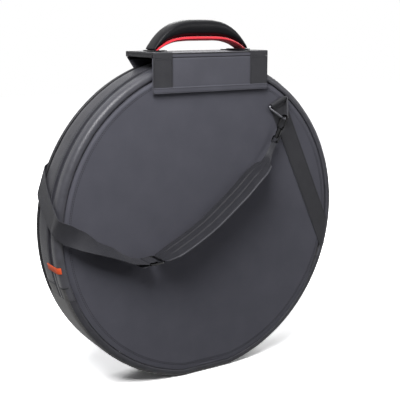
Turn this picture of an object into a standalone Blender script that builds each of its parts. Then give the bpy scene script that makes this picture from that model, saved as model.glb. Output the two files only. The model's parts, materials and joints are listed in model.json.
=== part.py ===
"""A round padded cymbal bag on its edge, with a zipped lid, a saddle handle and a shoulder strap.

The rest face is at z = 0. The front faces -Y, and +X is to the right seen from the front.
Round the bag, an angle is counted from the top, clockwise seen from the front, and a depth
is counted inwards from the outer surface of the rim.
"""

import math

import bmesh
import bpy
from mathutils import Matrix, Vector

mm = 0.001
rad = math.radians

# The bag's shell
RADIUS = 310 * mm
THICKNESS = 92 * mm
FLAT_RISE = 5 * mm
WALL = 7 * mm
PANEL = 8 * mm
PIPING_R = 3 * mm
ROLL_WIDTH = 14 * mm
ROLL_DROP = 3 * mm
FOLD_BELOW_CENTRE = 108 * mm
RIM_STEP = 4.0
ROUND_SIDES = 12
GAP = 0.3 * mm

# The zip
ZIP_Y = -18 * mm
ZIP_SLOT = 12 * mm
TAPE_T = 1.5 * mm
TAPE_UNDERLAP = 7 * mm
COIL_H = 1.2 * mm
COIL_W = 2.85 * mm
ZIP_END = 99.5
TAB_HALF_ANGLE = 1.05
TAB_T = 1.6 * mm
TAB_FRONT_SHARE = 0.96
TAB_REAR_SHARE = 0.04
SLIDER_CLEAR = 0.6 * mm
SLIDER_T = 2.6 * mm
SLIDER_L = 13 * mm
SLIDER_NOSE_SHARE = 0.6
SLIDER_SIDE_CLEAR = 0.7 * mm
LEFT_SLIDER_PARK = 31.0
RIGHT_SLIDER_PARK = 39.0
PIN_R = 0.8 * mm
EAR_T = 1.4 * mm
EAR_L = 3.6 * mm
PULL_L = 24 * mm
PULL_T = 1.4 * mm
PULL_EYE_R = 1.8 * mm
PULL_CLEAR = 0.25 * mm

# Dividers between the cymbals
DIVIDER_SLACK = 27 * mm
DIVIDER_T = 3 * mm
DIVIDER_PLACE_SHARES = (-0.27, 0.29)

# The saddle over the top
SADDLE_X = 7 * mm
SADDLE_LENGTH = 250 * mm
SADDLE_PLATE_T = 8 * mm
SADDLE_CLEAR = 2 * mm
FLAP_STAND = 2 * mm
FLAP_T = 3 * mm
FLAP_DROP = 63 * mm
REAR_FLAP_TAPER = 42 * mm
BAND_W = 40 * mm
WEBBING_T = 1.6 * mm
SEAM_STRIP_W = 16 * mm
SEAM_STRIP_RISE = 12 * mm

# The carrying handle
HANDLE_INSET = 19 * mm
HANDLE_RISE = 57 * mm
HANDLE_END_T = 3 * mm
HANDLE_INNER_RISE = 27 * mm
HANDLE_W = 42 * mm
GRIP_SHORT = 14 * mm
LINING_SHORT = 8 * mm
LINING_T = 6 * mm
LINING_END_T = 3.5 * mm
LINING_W = 35 * mm
OUTER_POWER = 1.65
INNER_POWER = 2.0
HANDLE_CORNER_SHARE = 0.3
HANDLE_STEPS = 18
FOOT_T = 3 * mm
FOOT_L = 26 * mm
LEG_T = 9 * mm

# Webbing tape, loop and ring on each face
WEBBING_W = 38 * mm
RING_ANGLE = 35.78
RING_INSET = 36.35 * mm
TAPE_LEAN = 24.7
TAPE_END_STEPS = 6
RING_WIRE_R = 2.2 * mm
RING_BAR = 49 * mm
RING_HEIGHT = 44 * mm
RING_CORNER = 3 * mm
RING_TIP_CORNER = 7 * mm
RING_STEPS = 5
RING_TILT = 11.5
LOOP_BORE_CLEAR = 0.4 * mm
LOOP_W = 36 * mm
LOOP_TAIL = 7 * mm
LOOP_TAIL_RISE = 0.2 * mm
LOOP_SIDES = 16

# The swivel snap hook, in its own frame: the barrel's foot is at 0, the ring end is up
HOOK_WIRE_R = 2.25 * mm
HOOK_HALF = 9.25 * mm
HOOK_TOP = 40 * mm
HOOK_FOOT = 12 * mm
HOOK_SHOULDER = 17 * mm
HOOK_NOSE = 33.5 * mm
HOOK_CORNER = 6 * mm
HOOK_CORNER_SHARE = 0.9
HOOK_STEPS = 4
HOOK_OFF_RING = 3.4 * mm
HOOK_SEAT = 1.2 * mm
BARREL_R = 5 * mm
POST_R = 2 * mm
POST_HEAD_R = 3.8 * mm
POST_HEAD_T = 2 * mm
SWIVEL_CLEAR = 0.4 * mm
BOSS_T = 4.8 * mm
GATE_R = 1.7 * mm
EYE_WIRE_R = 1.8 * mm
EYE_HALF = 9.5 * mm
EYE_DROP = 15 * mm
FRONT_HOOK_LEAN = 206.6
REAR_HOOK_LEAN = 212.0
REAR_EYE_TURN = 90.0

# The shoulder strap, which stands on edge in front of the face
STRAP_STAND = 3 * mm
STRAP_T = 1.8 * mm
STRAP_RIM_CLEAR = 1.7 * mm
STRAP_BEND_R = 6 * mm
GATHERED_KNOTS = 2
NECK_W = 13 * mm
NECK_T = 3.2 * mm
NECK_END_SHARE = 0.8
NECK_REACH = 29.4 * mm
NECK_DROP = 35.85 * mm
STRAP_STEPS = 4
SLEEVE_CLEAR = 0.3 * mm
PAD_W = 62 * mm
PAD_END_W = 44 * mm
PAD_T = 9 * mm
PAD_EDGE_T = 4 * mm
PAD_CROWN_SHARE = 0.8
PAD_SWELL_SHARE = 1 / 6
ADJUSTER_L = 26 * mm
ADJUSTER_WIRE_R = 2 * mm
ADJUSTER_BAR_R = 1.6 * mm
ADJUSTER_CORNER = 4 * mm
ADJUSTER_SIDE_CLEAR = 1.5 * mm
ADJUSTER_FACE_CLEAR = 1.5 * mm
ADJUSTER_LEAN = 25.0

# What follows from those sizes
HALF = THICKNESS / 2
CENTRE_Z = RADIUS - FLAT_RISE
FOLD_Z = CENTRE_Z - FOLD_BELOW_CENTRE
SEAT = WALL + GAP
GUSSET_EDGE = HALF - 2 * PIPING_R - GAP
SLOT_FRONT = ZIP_Y - ZIP_SLOT / 2
SLOT_REAR = ZIP_Y + ZIP_SLOT / 2
SADDLE_Z = CENTRE_Z + RADIUS + SADDLE_CLEAR
SADDLE_TOP = SADDLE_Z + SADDLE_PLATE_T
FLAP_Y = HALF + FLAP_STAND
SADDLE_HALF_Y = FLAP_Y + FLAP_T
CENTRE = Vector((0, 0, CENTRE_Z))
DIVIDER_R = RADIUS - WALL - DIVIDER_SLACK
HANDLE_HALF = SADDLE_LENGTH / 2 - HANDLE_INSET
HANDLE_INNER_HALF = HANDLE_HALF - HANDLE_END_T
GRIP_HALF = HANDLE_HALF - GRIP_SHORT
LINING_HALF = GRIP_HALF - LINING_SHORT
RING_X = (RADIUS - RING_INSET) * math.sin(rad(RING_ANGLE))
RING_UP = (RADIUS - RING_INSET) * math.cos(rad(RING_ANGLE))


def clear_scene():
    for old in list(bpy.data.objects):
        bpy.data.objects.remove(old)


def finish(name, colour, roughness, metallic=0.0):
    """A Principled material for one kind of piece."""
    made = bpy.data.materials.new(name)
    made.use_nodes = True
    shader = made.node_tree.nodes["Principled BSDF"]
    shader.inputs["Base Color"].default_value = (*colour, 1)
    shader.inputs["Roughness"].default_value = roughness
    shader.inputs["Metallic"].default_value = metallic
    return made


def put(name, mesh, material):
    """Links a mesh as a named object with its material, shaded smooth but for its sharp edges."""
    obj = bpy.data.objects.new(name, mesh)
    bpy.context.scene.collection.objects.link(obj)
    mesh.materials.append(material)
    mesh.shade_smooth()
    mesh.set_sharp_from_angle(angle=rad(35))
    return obj


def loft(name, rings, material, closed=False):
    """A solid through rings of points that match one to one; an open run gets a face at each end."""
    work = bmesh.new()
    rows = [[work.verts.new(p) for p in ring] for ring in rings]
    pairs = list(zip(rows, rows[1:]))
    if closed:
        pairs.append((rows[-1], rows[0]))
    for low, high in pairs:
        for i in range(len(low)):
            j = (i + 1) % len(low)
            work.faces.new((low[i], low[j], high[j], high[i]))
    if not closed:
        work.faces.new(rows[0])
        work.faces.new(rows[-1])
    bmesh.ops.recalc_face_normals(work, faces=work.faces)
    mesh = bpy.data.meshes.new(name)
    work.to_mesh(mesh)
    work.free()
    return put(name, mesh, material)


def prism_y(name, outline, low, high, material):
    """An outline in X and Z, extruded from one Y to another."""
    return loft(name, [[Vector((x, y, z)) for x, z in outline] for y in (low, high)], material)


def prism_x(name, outline, low, high, material):
    """An outline in Y and Z, extruded from one X to another."""
    return loft(name, [[Vector((x, y, z)) for y, z in outline] for x in (low, high)], material)


def drum(name, start, end, radius, material, sides=ROUND_SIDES):
    """A round bar between two points."""
    along = (end - start).normalized()
    across = along.orthogonal().normalized()
    other = along.cross(across)
    rings = []
    for place in (start, end):
        turns = [2 * math.pi * i / sides for i in range(sides)]
        rings.append([place + radius * (math.cos(t) * across + math.sin(t) * other) for t in turns])
    return loft(name, rings, material)


def tube(name, points, radius, material, cyclic=False, resolution=2):
    """A wire along points."""
    curve = bpy.data.curves.new(name, "CURVE")
    curve.dimensions = "3D"
    curve.bevel_depth = radius
    curve.bevel_resolution = resolution
    curve.use_fill_caps = True
    line = curve.splines.new("POLY")
    line.points.add(len(points) - 1)
    for point, place in zip(line.points, points):
        point.co = (*place, 1)
    line.use_cyclic_u = cyclic
    curve.materials.append(material)
    obj = bpy.data.objects.new(name, curve)
    bpy.context.scene.collection.objects.link(obj)
    return obj


def as_mesh(obj):
    """The same object as a mesh, so that a Boolean can take it."""
    name = obj.name
    obj.name = name + "_curve"
    bpy.context.view_layer.update()
    mesh = bpy.data.meshes.new_from_object(obj.evaluated_get(bpy.context.evaluated_depsgraph_get()))
    work = bmesh.new()
    work.from_mesh(mesh)
    bmesh.ops.remove_doubles(work, verts=work.verts, dist=0.001 * mm)
    bmesh.ops.recalc_face_normals(work, faces=work.faces)
    work.to_mesh(mesh)
    work.free()
    made = bpy.data.objects.new(name, mesh)
    bpy.context.scene.collection.objects.link(made)
    bpy.data.objects.remove(obj)
    return made


def combine(obj, helper, operation):
    """Joins a helper to an object, or cuts it away, and keeps the helper out of the model."""
    helper.hide_render = True
    helper.display_type = "WIRE"
    change = obj.modifiers.new(helper.name, "BOOLEAN")
    change.operation = operation
    change.object = helper
    return obj


def rim_point(angle, depth, y):
    """A point of the rim; along the bottom the outer surface is the flat that the bag stands on."""
    outer = RADIUS
    if -math.cos(angle) * RADIUS > CENTRE_Z:
        outer = -CENTRE_Z / math.cos(angle)
    reach = outer - depth
    return CENTRE + Vector((reach * math.sin(angle), y, reach * math.cos(angle)))


def rim_angles(start, stop):
    """Even steps between two angles, with the two ends of the flat kept as steps of their own."""
    flat = math.acos(CENTRE_Z / RADIUS)
    marks = [start]
    marks += [mark for mark in (math.pi - flat, math.pi + flat) if start < mark < stop]
    marks.append(stop)
    found = [start]
    for low, high in zip(marks, marks[1:]):
        count = max(1, round(math.degrees(high - low) / RIM_STEP))
        found += [low + (high - low) * i / count for i in range(1, count + 1)]
    return found


def rim_sweep(name, section, start, stop, material):
    """A section of depths and Y places, swept round the rim."""
    rings = [[rim_point(a, depth, y) for depth, y in section] for a in rim_angles(start, stop)]
    return loft(name, rings, material)


def upper_sweep(name, section, material, start=None):
    """A section swept over the top from fold to fold, or from an angle to the right end of the fold."""
    rings = []
    low = -fold_angle(0, GAP) if start is None else start
    angles = rim_angles(low, fold_angle(0, GAP))
    for i, angle in enumerate(angles):
        ring = []
        for depth, y in section:
            turned = angle
            if i == len(angles) - 1:
                turned = fold_angle(depth, GAP)
            if i == 0 and start is None:
                turned = -fold_angle(depth, GAP)
            ring.append(rim_point(turned, depth, y))
        rings.append(ring)
    return loft(name, rings, material)


def lower_sweep(name, section, material):
    """A section swept round the bottom from fold to fold."""
    rings = []
    low = fold_angle(0, -GAP)
    angles = rim_angles(low, 2 * math.pi - low)
    for i, angle in enumerate(angles):
        ring = []
        for depth, y in section:
            turned = angle
            if i == 0:
                turned = fold_angle(depth, -GAP)
            if i == len(angles) - 1:
                turned = 2 * math.pi - fold_angle(depth, -GAP)
            ring.append(rim_point(turned, depth, y))
        rings.append(ring)
    return loft(name, rings, material)


def rim_ring(name, section, material):
    """A section swept all the way round the rim."""
    angles = rim_angles(0, 2 * math.pi)[:-1]
    return loft(name, [[rim_point(a, depth, y) for depth, y in section] for a in angles], material, True)


def box_section(shallow, deep, front, rear):
    return [(shallow, front), (shallow, rear), (deep, rear), (deep, front)]


def round_section(depth, y, radius, sides=8):
    turns = [2 * math.pi * (i + 0.5) / sides for i in range(sides)]
    return [(depth + radius * math.cos(t), y + radius * math.sin(t)) for t in turns]


def fold_angle(depth, clear):
    """Where the rim at a depth meets the fold, from the top."""
    return math.acos((FOLD_Z + clear - CENTRE_Z) / (RADIUS - depth))


def panel_stack(side):
    """The depths and Y places that give a face panel its rolled edge, from the inside out."""
    return [
        (SEAT, side * (HALF - PANEL)),
        (SEAT, side * (HALF - ROLL_DROP)),
        (ROLL_WIDTH, side * HALF),
    ]


def face_place(x, up, y):
    return CENTRE + Vector((x, y, up))


def smooth_line(points, steps):
    """A curve through the points, with a number of steps between each two."""
    ends = [2 * points[0] - points[1], *points, 2 * points[-1] - points[-2]]
    found = []
    for a, b, c, d in zip(ends, ends[1:], ends[2:], ends[3:]):
        before, here, after = [math.sqrt(gap.length) for gap in (b - a, c - b, d - c)]
        leave = here * ((b - a) / before - (c - a) / (before + here)) + (c - b)
        reach = here * ((d - c) / after - (d - b) / (here + after)) + (c - b)
        for i in range(steps):
            t = i / steps
            ahead = t**2 * (3 - 2 * t)
            bulge = leave * t * (1 - t) ** 2 - reach * t**2 * (1 - t)
            found.append(b.lerp(c, ahead) + bulge)
    found.append(points[-1])
    return found


def tangents(line):
    """The direction of a line at each of its points."""
    ends = [line[0], *line, line[-1]]
    return [(after - before).normalized() for before, after in zip(ends, ends[2:])]


def between(values, place):
    """The value at a place among evenly spaced ones."""
    low = min(int(place), len(values) - 2)
    return values[low].lerp(values[low + 1], place - low)


def band(name, line, sides, widths, thicknesses, material, crown=False, runs=None):
    """A strap along a line. A side vector points across it, and its length stretches the width."""
    rings = []
    runs = runs or tangents(line)
    for place, along, side, width, thickness in zip(line, runs, sides, widths, thicknesses):
        up = along.cross(side).normalized()
        wide = width / 2
        thick = thickness / 2
        corners = [(-wide, -thick), (wide, -thick), (wide, thick), (-wide, thick)]
        if crown:
            inner = PAD_CROWN_SHARE * wide
            thin = min(thick, PAD_EDGE_T / 2)
            corners = [(-wide, -thin), (-inner, -thick), (inner, -thick), (wide, -thin)]
            corners += [(wide, thin), (inner, thick), (-inner, thick), (-wide, thin)]
        rings.append([place + u * side + v * up for u, v in corners])
    return loft(name, rings, material)


# Shell


def make_shell():
    cloth = finish("padded_cloth", (0.105, 0.105, 0.125), 0.7)
    hard = finish("grained_base", (0.075, 0.075, 0.08), 0.6)
    cord = finish("piping", (0.05, 0.05, 0.055), 0.6)

    full = rim_angles(0, 2 * math.pi)[:-1]
    rings = [[rim_point(a, depth, y) for a in full] for depth, y in panel_stack(1)]
    loft("rear_panel", rings, cloth)

    rings = []
    for depth, y in panel_stack(-1):
        top = fold_angle(depth, GAP / 2)
        count = round(2 * math.degrees(fold_angle(SEAT, 0)) / RIM_STEP)
        angles = [top * (2 * i / count - 1) for i in range(count + 1)]
        rings.append([rim_point(a, depth, y) for a in angles])
    loft("front_panel", rings, cloth)

    rings = []
    flat = math.acos(CENTRE_Z / RADIUS)
    side_count = round(math.degrees(math.pi - flat - fold_angle(SEAT, 0)) / RIM_STEP)
    flat_count = round(2 * math.degrees(flat) / RIM_STEP)
    for depth, y in panel_stack(-1):
        top = fold_angle(depth, -GAP / 2)
        reach = math.pi - flat - top
        side = [top + reach * i / side_count for i in range(side_count)]
        under = [math.pi - flat + 2 * flat * i / flat_count for i in range(flat_count + 1)]
        angles = side + under + [2 * math.pi - a for a in reversed(side)]
        rings.append([rim_point(a, depth, y) for a in angles])
    loft("lower_front_panel", rings, cloth)

    upper_sweep("front_gusset", box_section(0, WALL, -GUSSET_EDGE, SLOT_FRONT), cloth)
    upper_sweep("rear_gusset", box_section(0, WALL, SLOT_REAR, GUSSET_EDGE), cloth)
    lower_sweep("bottom_gusset", box_section(0, WALL, -GUSSET_EDGE, GUSSET_EDGE), hard)
    for name, sign in (("right_gore", 1), ("left_gore", -1)):
        gore = box_section(0, WALL, SLOT_FRONT + GAP, SLOT_REAR - GAP)
        made = upper_sweep(name, gore, cloth, rad(ZIP_END) + GAP / RADIUS)
        if sign < 0:
            made.data.transform(Matrix.Scale(-1, 4, Vector((1, 0, 0))))
            made.data.flip_normals()

    edge = HALF - PIPING_R
    rim_ring("rear_piping", round_section(PIPING_R, edge, PIPING_R), cord)
    upper_sweep("front_piping", round_section(PIPING_R, -edge, PIPING_R), cord)
    lower_sweep("lower_front_piping", round_section(PIPING_R, -edge, PIPING_R), cord)

    lining = finish("divider_cloth", (0.02, 0.02, 0.022), 0.8)
    sides = round(360 / RIM_STEP)
    middle = WALL + GAP + DIVIDER_R
    turns = [2 * math.pi * i / sides for i in range(sides)]
    outline = [(DIVIDER_R * math.sin(t), middle - DIVIDER_R * math.cos(t)) for t in turns]
    for name, share in zip(("front_divider", "rear_divider"), DIVIDER_PLACE_SHARES):
        place = share * HALF
        prism_y(name, outline, place - DIVIDER_T / 2, place + DIVIDER_T / 2, lining)


# Zip


def make_zip():
    woven = finish("zip_tape", (0.03, 0.03, 0.033), 0.75)
    plastic = finish("zip_coil", (0.02, 0.02, 0.02), 0.35)
    end = rad(ZIP_END)
    top = WALL + GAP
    front = box_section(top, top + TAPE_T, SLOT_FRONT - TAPE_UNDERLAP, ZIP_Y - GAP)
    rim_sweep("front_zip_tape", front, -end, end, woven)
    rear = box_section(top, top + TAPE_T, ZIP_Y + GAP, SLOT_REAR + TAPE_UNDERLAP)
    rim_sweep("rear_zip_tape", rear, -end, end, woven)
    under = top - GAP
    front = box_section(under - COIL_H, under, ZIP_Y - GAP / 2 - COIL_W, ZIP_Y - GAP / 2)
    rim_sweep("front_zip_coil", front, -end, end, plastic)
    rear = box_section(under - COIL_H, under, ZIP_Y + GAP / 2, ZIP_Y + GAP / 2 + COIL_W)
    rim_sweep("rear_zip_coil", rear, -end, end, plastic)

    red = finish("end_tab", (0.9, 0.12, 0.06), 0.7)
    span = box_section(-GAP - TAB_T, -GAP, -HALF * TAB_FRONT_SHARE, HALF * TAB_REAR_SHARE)
    half = rad(TAB_HALF_ANGLE)
    rim_sweep("right_zip_tab", span, end - half, end + half, red)
    rim_sweep("left_zip_tab", span, -end - half, -end + half, red)

    metal = finish("slider_metal", (0.03, 0.03, 0.03), 0.3, 1.0)
    for side, park in (("left", LEFT_SLIDER_PARK), ("right", RIGHT_SLIDER_PARK)):
        make_slider(side, rad(park), metal)


def make_slider(side, angle, metal):
    """A zip slider with its origin on the bag's axis, turned to where it is parked."""
    floor = RADIUS - (WALL - COIL_H) + SLIDER_CLEAR
    roof = floor + SLIDER_T
    half = ZIP_SLOT / 2 - SLIDER_SIDE_CLEAR
    long = SLIDER_L / 2
    nose = SLIDER_NOSE_SHARE * long
    outline = [(-long, floor), (long, floor), (long, floor + SLIDER_T / 2), (nose, roof)]
    outline += [(-nose, roof), (-long, floor + SLIDER_T / 2)]
    body = prism_y(side + "_slider", outline, ZIP_Y - half, ZIP_Y + half, metal)
    pin_z = roof + PULL_EYE_R + PULL_CLEAR
    ear = EAR_L / 2
    tab = [(-ear, roof - SLIDER_T / 2), (ear, roof - SLIDER_T / 2), (ear, pin_z), (PIN_R, pin_z + PIN_R)]
    tab += [(-PIN_R, pin_z + PIN_R), (-ear, pin_z)]
    for sign, end in ((-1, "front"), (1, "rear")):
        outer = ZIP_Y + sign * (half - GAP)
        inner = outer - sign * EAR_T
        name = f"{side}_{end}_ear"
        combine(body, prism_y(name, tab, min(outer, inner), max(outer, inner), metal), "UNION")
    reach = half - GAP - EAR_T / 2
    start = Vector((0, ZIP_Y - reach, pin_z))
    combine(body, drum(side + "_pin", start, start + Vector((0, 2 * reach, 0)), PIN_R, metal), "UNION")

    eye_half = half - GAP - EAR_T - PULL_CLEAR
    turns = [2 * math.pi * i / ROUND_SIDES for i in range(ROUND_SIDES)]
    ring = [(PULL_EYE_R * math.cos(t), PULL_EYE_R * math.sin(t)) for t in turns]
    pull = prism_y(side + "_pull", ring, -eye_half, eye_half, metal)
    low = -PULL_T / 2
    leaf = [(PULL_EYE_R / 2, low), (PULL_L, low), (PULL_L, -low), (PULL_EYE_R / 2, -low)]
    combine(pull, prism_y(side + "_leaf", leaf, -eye_half, eye_half, metal), "UNION")
    bore = Vector((0, ZIP_SLOT, 0))
    combine(pull, drum(side + "_eye_hole", -bore, bore, PIN_R + PULL_CLEAR, metal), "DIFFERENCE")
    for piece in (pull, body):
        for change in piece.modifiers:
            change.object.parent = piece
    pull.parent = body
    pull.location = (0, ZIP_Y, pin_z)
    body.location = CENTRE
    body.rotation_euler.y = angle


# Saddle


def make_saddle():
    cloth = finish("saddle_cloth", (0.085, 0.085, 0.1), 0.65)
    woven = finish("webbing", (0.05, 0.05, 0.052), 0.7)
    left = SADDLE_X - SADDLE_LENGTH / 2
    right = SADDLE_X + SADDLE_LENGTH / 2
    plate = [
        (-SADDLE_HALF_Y, SADDLE_Z),
        (SADDLE_HALF_Y, SADDLE_Z),
        (SADDLE_HALF_Y, SADDLE_TOP),
        (-SADDLE_HALF_Y, SADDLE_TOP),
    ]
    prism_x("saddle_plate", plate, left, right, cloth)

    flap_top = SADDLE_Z - GAP
    flap_foot = flap_top - FLAP_DROP
    front = [(left, flap_foot), (right, flap_foot), (right, flap_top), (left, flap_top)]
    prism_y("front_flap", front, -SADDLE_HALF_Y, -FLAP_Y, cloth)
    rear = [
        (left + REAR_FLAP_TAPER, flap_foot),
        (right - REAR_FLAP_TAPER, flap_foot),
        (right, flap_top),
        (left, flap_top),
    ]
    prism_y("rear_flap", rear, FLAP_Y, SADDLE_HALF_Y, cloth)

    strip_low = flap_foot + SEAM_STRIP_RISE
    for sign, name in ((-1, "front_flap_seam"), (1, "rear_flap_seam")):
        faces = sorted((sign * (HALF + GAP), sign * (FLAP_Y - GAP)))
        inset = REAR_FLAP_TAPER if sign > 0 else BAND_W
        low = (left + inset, strip_low)
        high = (right - inset, strip_low + SEAM_STRIP_W)
        outline = [low, (high[0], low[1]), high, (low[0], high[1])]
        prism_y(name, outline, *faces, woven)

    inner = SADDLE_HALF_Y + GAP
    outer = inner + WEBBING_T
    over = SADDLE_TOP + GAP
    top = over + WEBBING_T
    starts = {"left": left, "right": right - BAND_W}
    for side, start in starts.items():
        front = [(-outer, flap_foot), (-inner, flap_foot), (-inner, flap_top), (-outer, flap_top)]
        prism_x(side + "_flap_band", front, start, start + BAND_W, woven)
        arch = [(-outer, SADDLE_Z), (-inner, SADDLE_Z), (-inner, over), (inner, over), (inner, SADDLE_Z)]
        arch += [(outer, SADDLE_Z), (outer, top), (-outer, top)]
        prism_x(side + "_saddle_band", arch, start, start + BAND_W, woven)


# Handle


def handle_height(across, half, rise, power):
    """The handle's curve: its height over the saddle at a distance from its middle."""
    return rise * math.cos(math.pi / 2 * min(1, abs(across) / half) ** power)


def crescent(name, half, width, low, high, material):
    """A padded bow between two curves, as wide as given, with its corners taken off."""
    rings = []
    base = SADDLE_TOP + GAP + WEBBING_T
    for i in range(HANDLE_STEPS + 1):
        across = half * (2 * i / HANDLE_STEPS - 1)
        bottom = base + low(across)
        top = base + high(across)
        corner = (top - bottom) * HANDLE_CORNER_SHARE
        wide = width / 2
        ring = [
            (-wide + corner, bottom),
            (wide - corner, bottom),
            (wide, bottom + corner),
            (wide, top - corner),
            (wide - corner, top),
            (-wide + corner, top),
            (-wide, top - corner),
            (-wide, bottom + corner),
        ]
        rings.append([Vector((SADDLE_X + across, y, z)) for y, z in ring])
    return loft(name, rings, material)


def handle_top(across):
    return handle_height(across, HANDLE_HALF, HANDLE_RISE, OUTER_POWER)


def handle_under(across):
    return handle_height(across, HANDLE_INNER_HALF, HANDLE_INNER_RISE, INNER_POWER)


def make_handle():
    rubber = finish("grip_cover", (0.02, 0.02, 0.021), 0.55)
    lining = finish("grip_lining", (0.72, 0.03, 0.05), 0.6)
    crescent("handle_grip", GRIP_HALF, HANDLE_W, handle_under, handle_top, rubber)

    def lining_top(across):
        return handle_under(across) - GAP

    def lining_foot(across):
        fade = abs(across) / LINING_HALF
        return lining_top(across) - LINING_T + (LINING_T - LINING_END_T) * fade

    crescent("handle_lining", LINING_HALF, LINING_W, lining_foot, lining_top, lining)

    base = SADDLE_TOP + GAP + WEBBING_T + GAP
    end_low = handle_under(GRIP_HALF)
    end_high = handle_top(GRIP_HALF)
    start = GRIP_HALF + GAP
    for sign, name in ((-1, "left_handle_foot"), (1, "right_handle_foot")):
        leg = [
            (start, base + end_low),
            (start, base + end_high),
            (start + LEG_T / 2, base + (end_low + end_high) / 2),
            (start + LEG_T, base + FOOT_T),
            (start + LEG_T + FOOT_T, base),
            (start + LEG_T + FOOT_T - FOOT_L, base),
            (start + LEG_T + FOOT_T - FOOT_L, base + FOOT_T),
            (start, base + FOOT_T),
        ]
        outline = [(SADDLE_X + sign * x, z) for x, z in leg]
        prism_y(name, outline, -HANDLE_W / 2, HANDLE_W / 2, rubber)


# Webbing tape, loop and ring on a face


def tape_frame(side):
    """The bar's middle, the tape's way down and the bar's way, for the front (-1) or rear (1)."""
    lean = rad(TAPE_LEAN)
    middle = face_place(-side * RING_X, RING_UP, 0)
    down = Vector((-side * math.sin(lean), 0, -math.cos(lean)))
    across = Vector((-side * math.cos(lean), 0, math.sin(lean)))
    return middle, down, across


def reach_rim(start, direction, reach):
    """How far a line in the face's plane runs from a point to the circle of that radius."""
    offset = start - CENTRE
    half = offset.dot(direction)
    return -half + math.sqrt(half**2 - offset.length_squared + reach**2)


def loop_radius():
    return RING_WIRE_R + LOOP_BORE_CLEAR + WEBBING_T


def bar_height():
    """How far the ring's bar stands off the middle of the bag."""
    return HALF + GAP + loop_radius()


def make_tape(side, label):
    woven = finish(label + "_webbing", (0.05, 0.05, 0.052), 0.7)
    middle, down, across = tape_frame(side)
    reach = RADIUS - ROLL_WIDTH
    half = WEBBING_W / 2
    start = loop_radius() + LOOP_TAIL + GAP
    corners = [middle + down * start + across * half * s for s in (-1, 1)]
    ends = [corner + down * reach_rim(corner, down, reach) for corner in corners]
    angles = [math.atan2(p.x, p.z - CENTRE_Z) for p in ends]
    arc = [angles[1] + (angles[0] - angles[1]) * i / TAPE_END_STEPS for i in range(TAPE_END_STEPS + 1)]
    rim = [(reach * math.sin(a), CENTRE_Z + reach * math.cos(a)) for a in arc]
    outline = [(p.x, p.z) for p in corners] + rim
    faces = sorted((side * (HALF + GAP), side * (HALF + GAP + WEBBING_T)))
    prism_y(label + "_tape", outline, *faces, woven)

    bar = middle + Vector((0, side * bar_height(), 0))
    wide = across * LOOP_W / 2
    loop = drum(label + "_ring_loop", bar - wide, bar + wide, loop_radius(), woven, LOOP_SIDES)
    low = side * (HALF + GAP + LOOP_TAIL_RISE)
    high = low + side * WEBBING_T
    tail = []
    for run in (-1, 1):
        foot = middle + wide * run
        tip = foot + down * (loop_radius() + LOOP_TAIL)
        outline = ((foot, low), (foot, high), (tip, high), (tip, low))
        tail.append([Vector((p.x, y, p.z)) for p, y in outline])
    combine(loop, loft(label + "_loop_tail", tail, woven), "UNION")
    bore_r = RING_WIRE_R + LOOP_BORE_CLEAR
    bore = drum(label + "_loop_bore", bar - 2 * wide, bar + 2 * wide, bore_r, woven, LOOP_SIDES)
    combine(loop, bore, "DIFFERENCE")


def rounded(corners, radii, steps):
    """A closed line through corners, each rounded by its own radius."""
    found = []
    count = len(corners)
    for i, corner in enumerate(corners):
        before = (corners[i - 1] - corner).normalized()
        after = (corners[(i + 1) % count] - corner).normalized()
        half = before.angle(after) / 2
        middle = corner + (before + after).normalized() * radii[i] / math.sin(half)
        start = corner + before * radii[i] / math.tan(half) - middle
        end = corner + after * radii[i] / math.tan(half) - middle
        found += [middle + turn(start, end, k / steps) for k in range(steps + 1)]
    return found


def turn(start, end, share):
    """A point between two arms of an arc."""
    angle = start.angle(end) * share
    axis = start.cross(end).normalized()
    return Matrix.Rotation(angle, 3, axis) @ start


def ring_frame(side):
    """The ring's bar middle and the direction from the bar to its tip, which stands off the face."""
    middle, down, across = tape_frame(side)
    bar = middle + Vector((0, side * bar_height(), 0))
    tilt = rad(RING_TILT)
    drop = down * math.cos(tilt) + Vector((0, side * math.sin(tilt), 0))
    return bar, drop, across


def ring_tip_centre(side):
    """The centre of the ring's lowest corner, where the hook's bow passes through."""
    bar, drop, _ = ring_frame(side)
    half = math.atan2(RING_BAR / 2, RING_HEIGHT)
    return bar + drop * (RING_HEIGHT - RING_TIP_CORNER / math.sin(half))


def make_ring(side, label):
    metal = finish(label + "_ring_metal", (0.12, 0.12, 0.13), 0.3, 1.0)
    bar, drop, across = ring_frame(side)
    corners = [bar - across * RING_BAR / 2, bar + across * RING_BAR / 2, bar + drop * RING_HEIGHT]
    line = rounded([p - bar for p in corners], [RING_CORNER, RING_CORNER, RING_TIP_CORNER], RING_STEPS)
    ring = tube(label + "_ring", line, RING_WIRE_R, metal, True)
    ring.location = bar


# Snap hook


def hook_place(side, lean):
    """The hook's frame in the world: its foot, with Z towards the ring and Y along the bag's axis."""
    up = -Vector((math.sin(rad(lean)), 0, math.cos(rad(lean))))
    front = Vector((0, 1, 0))
    right = front.cross(up)
    turned = Matrix((right, front, up)).transposed()
    top = ring_tip_centre(side) + Vector((0, side * HOOK_OFF_RING, 0))
    foot = top - up * (HOOK_TOP + HOOK_SEAT)
    return Matrix.Translation(foot) @ turned.to_4x4()


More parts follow.
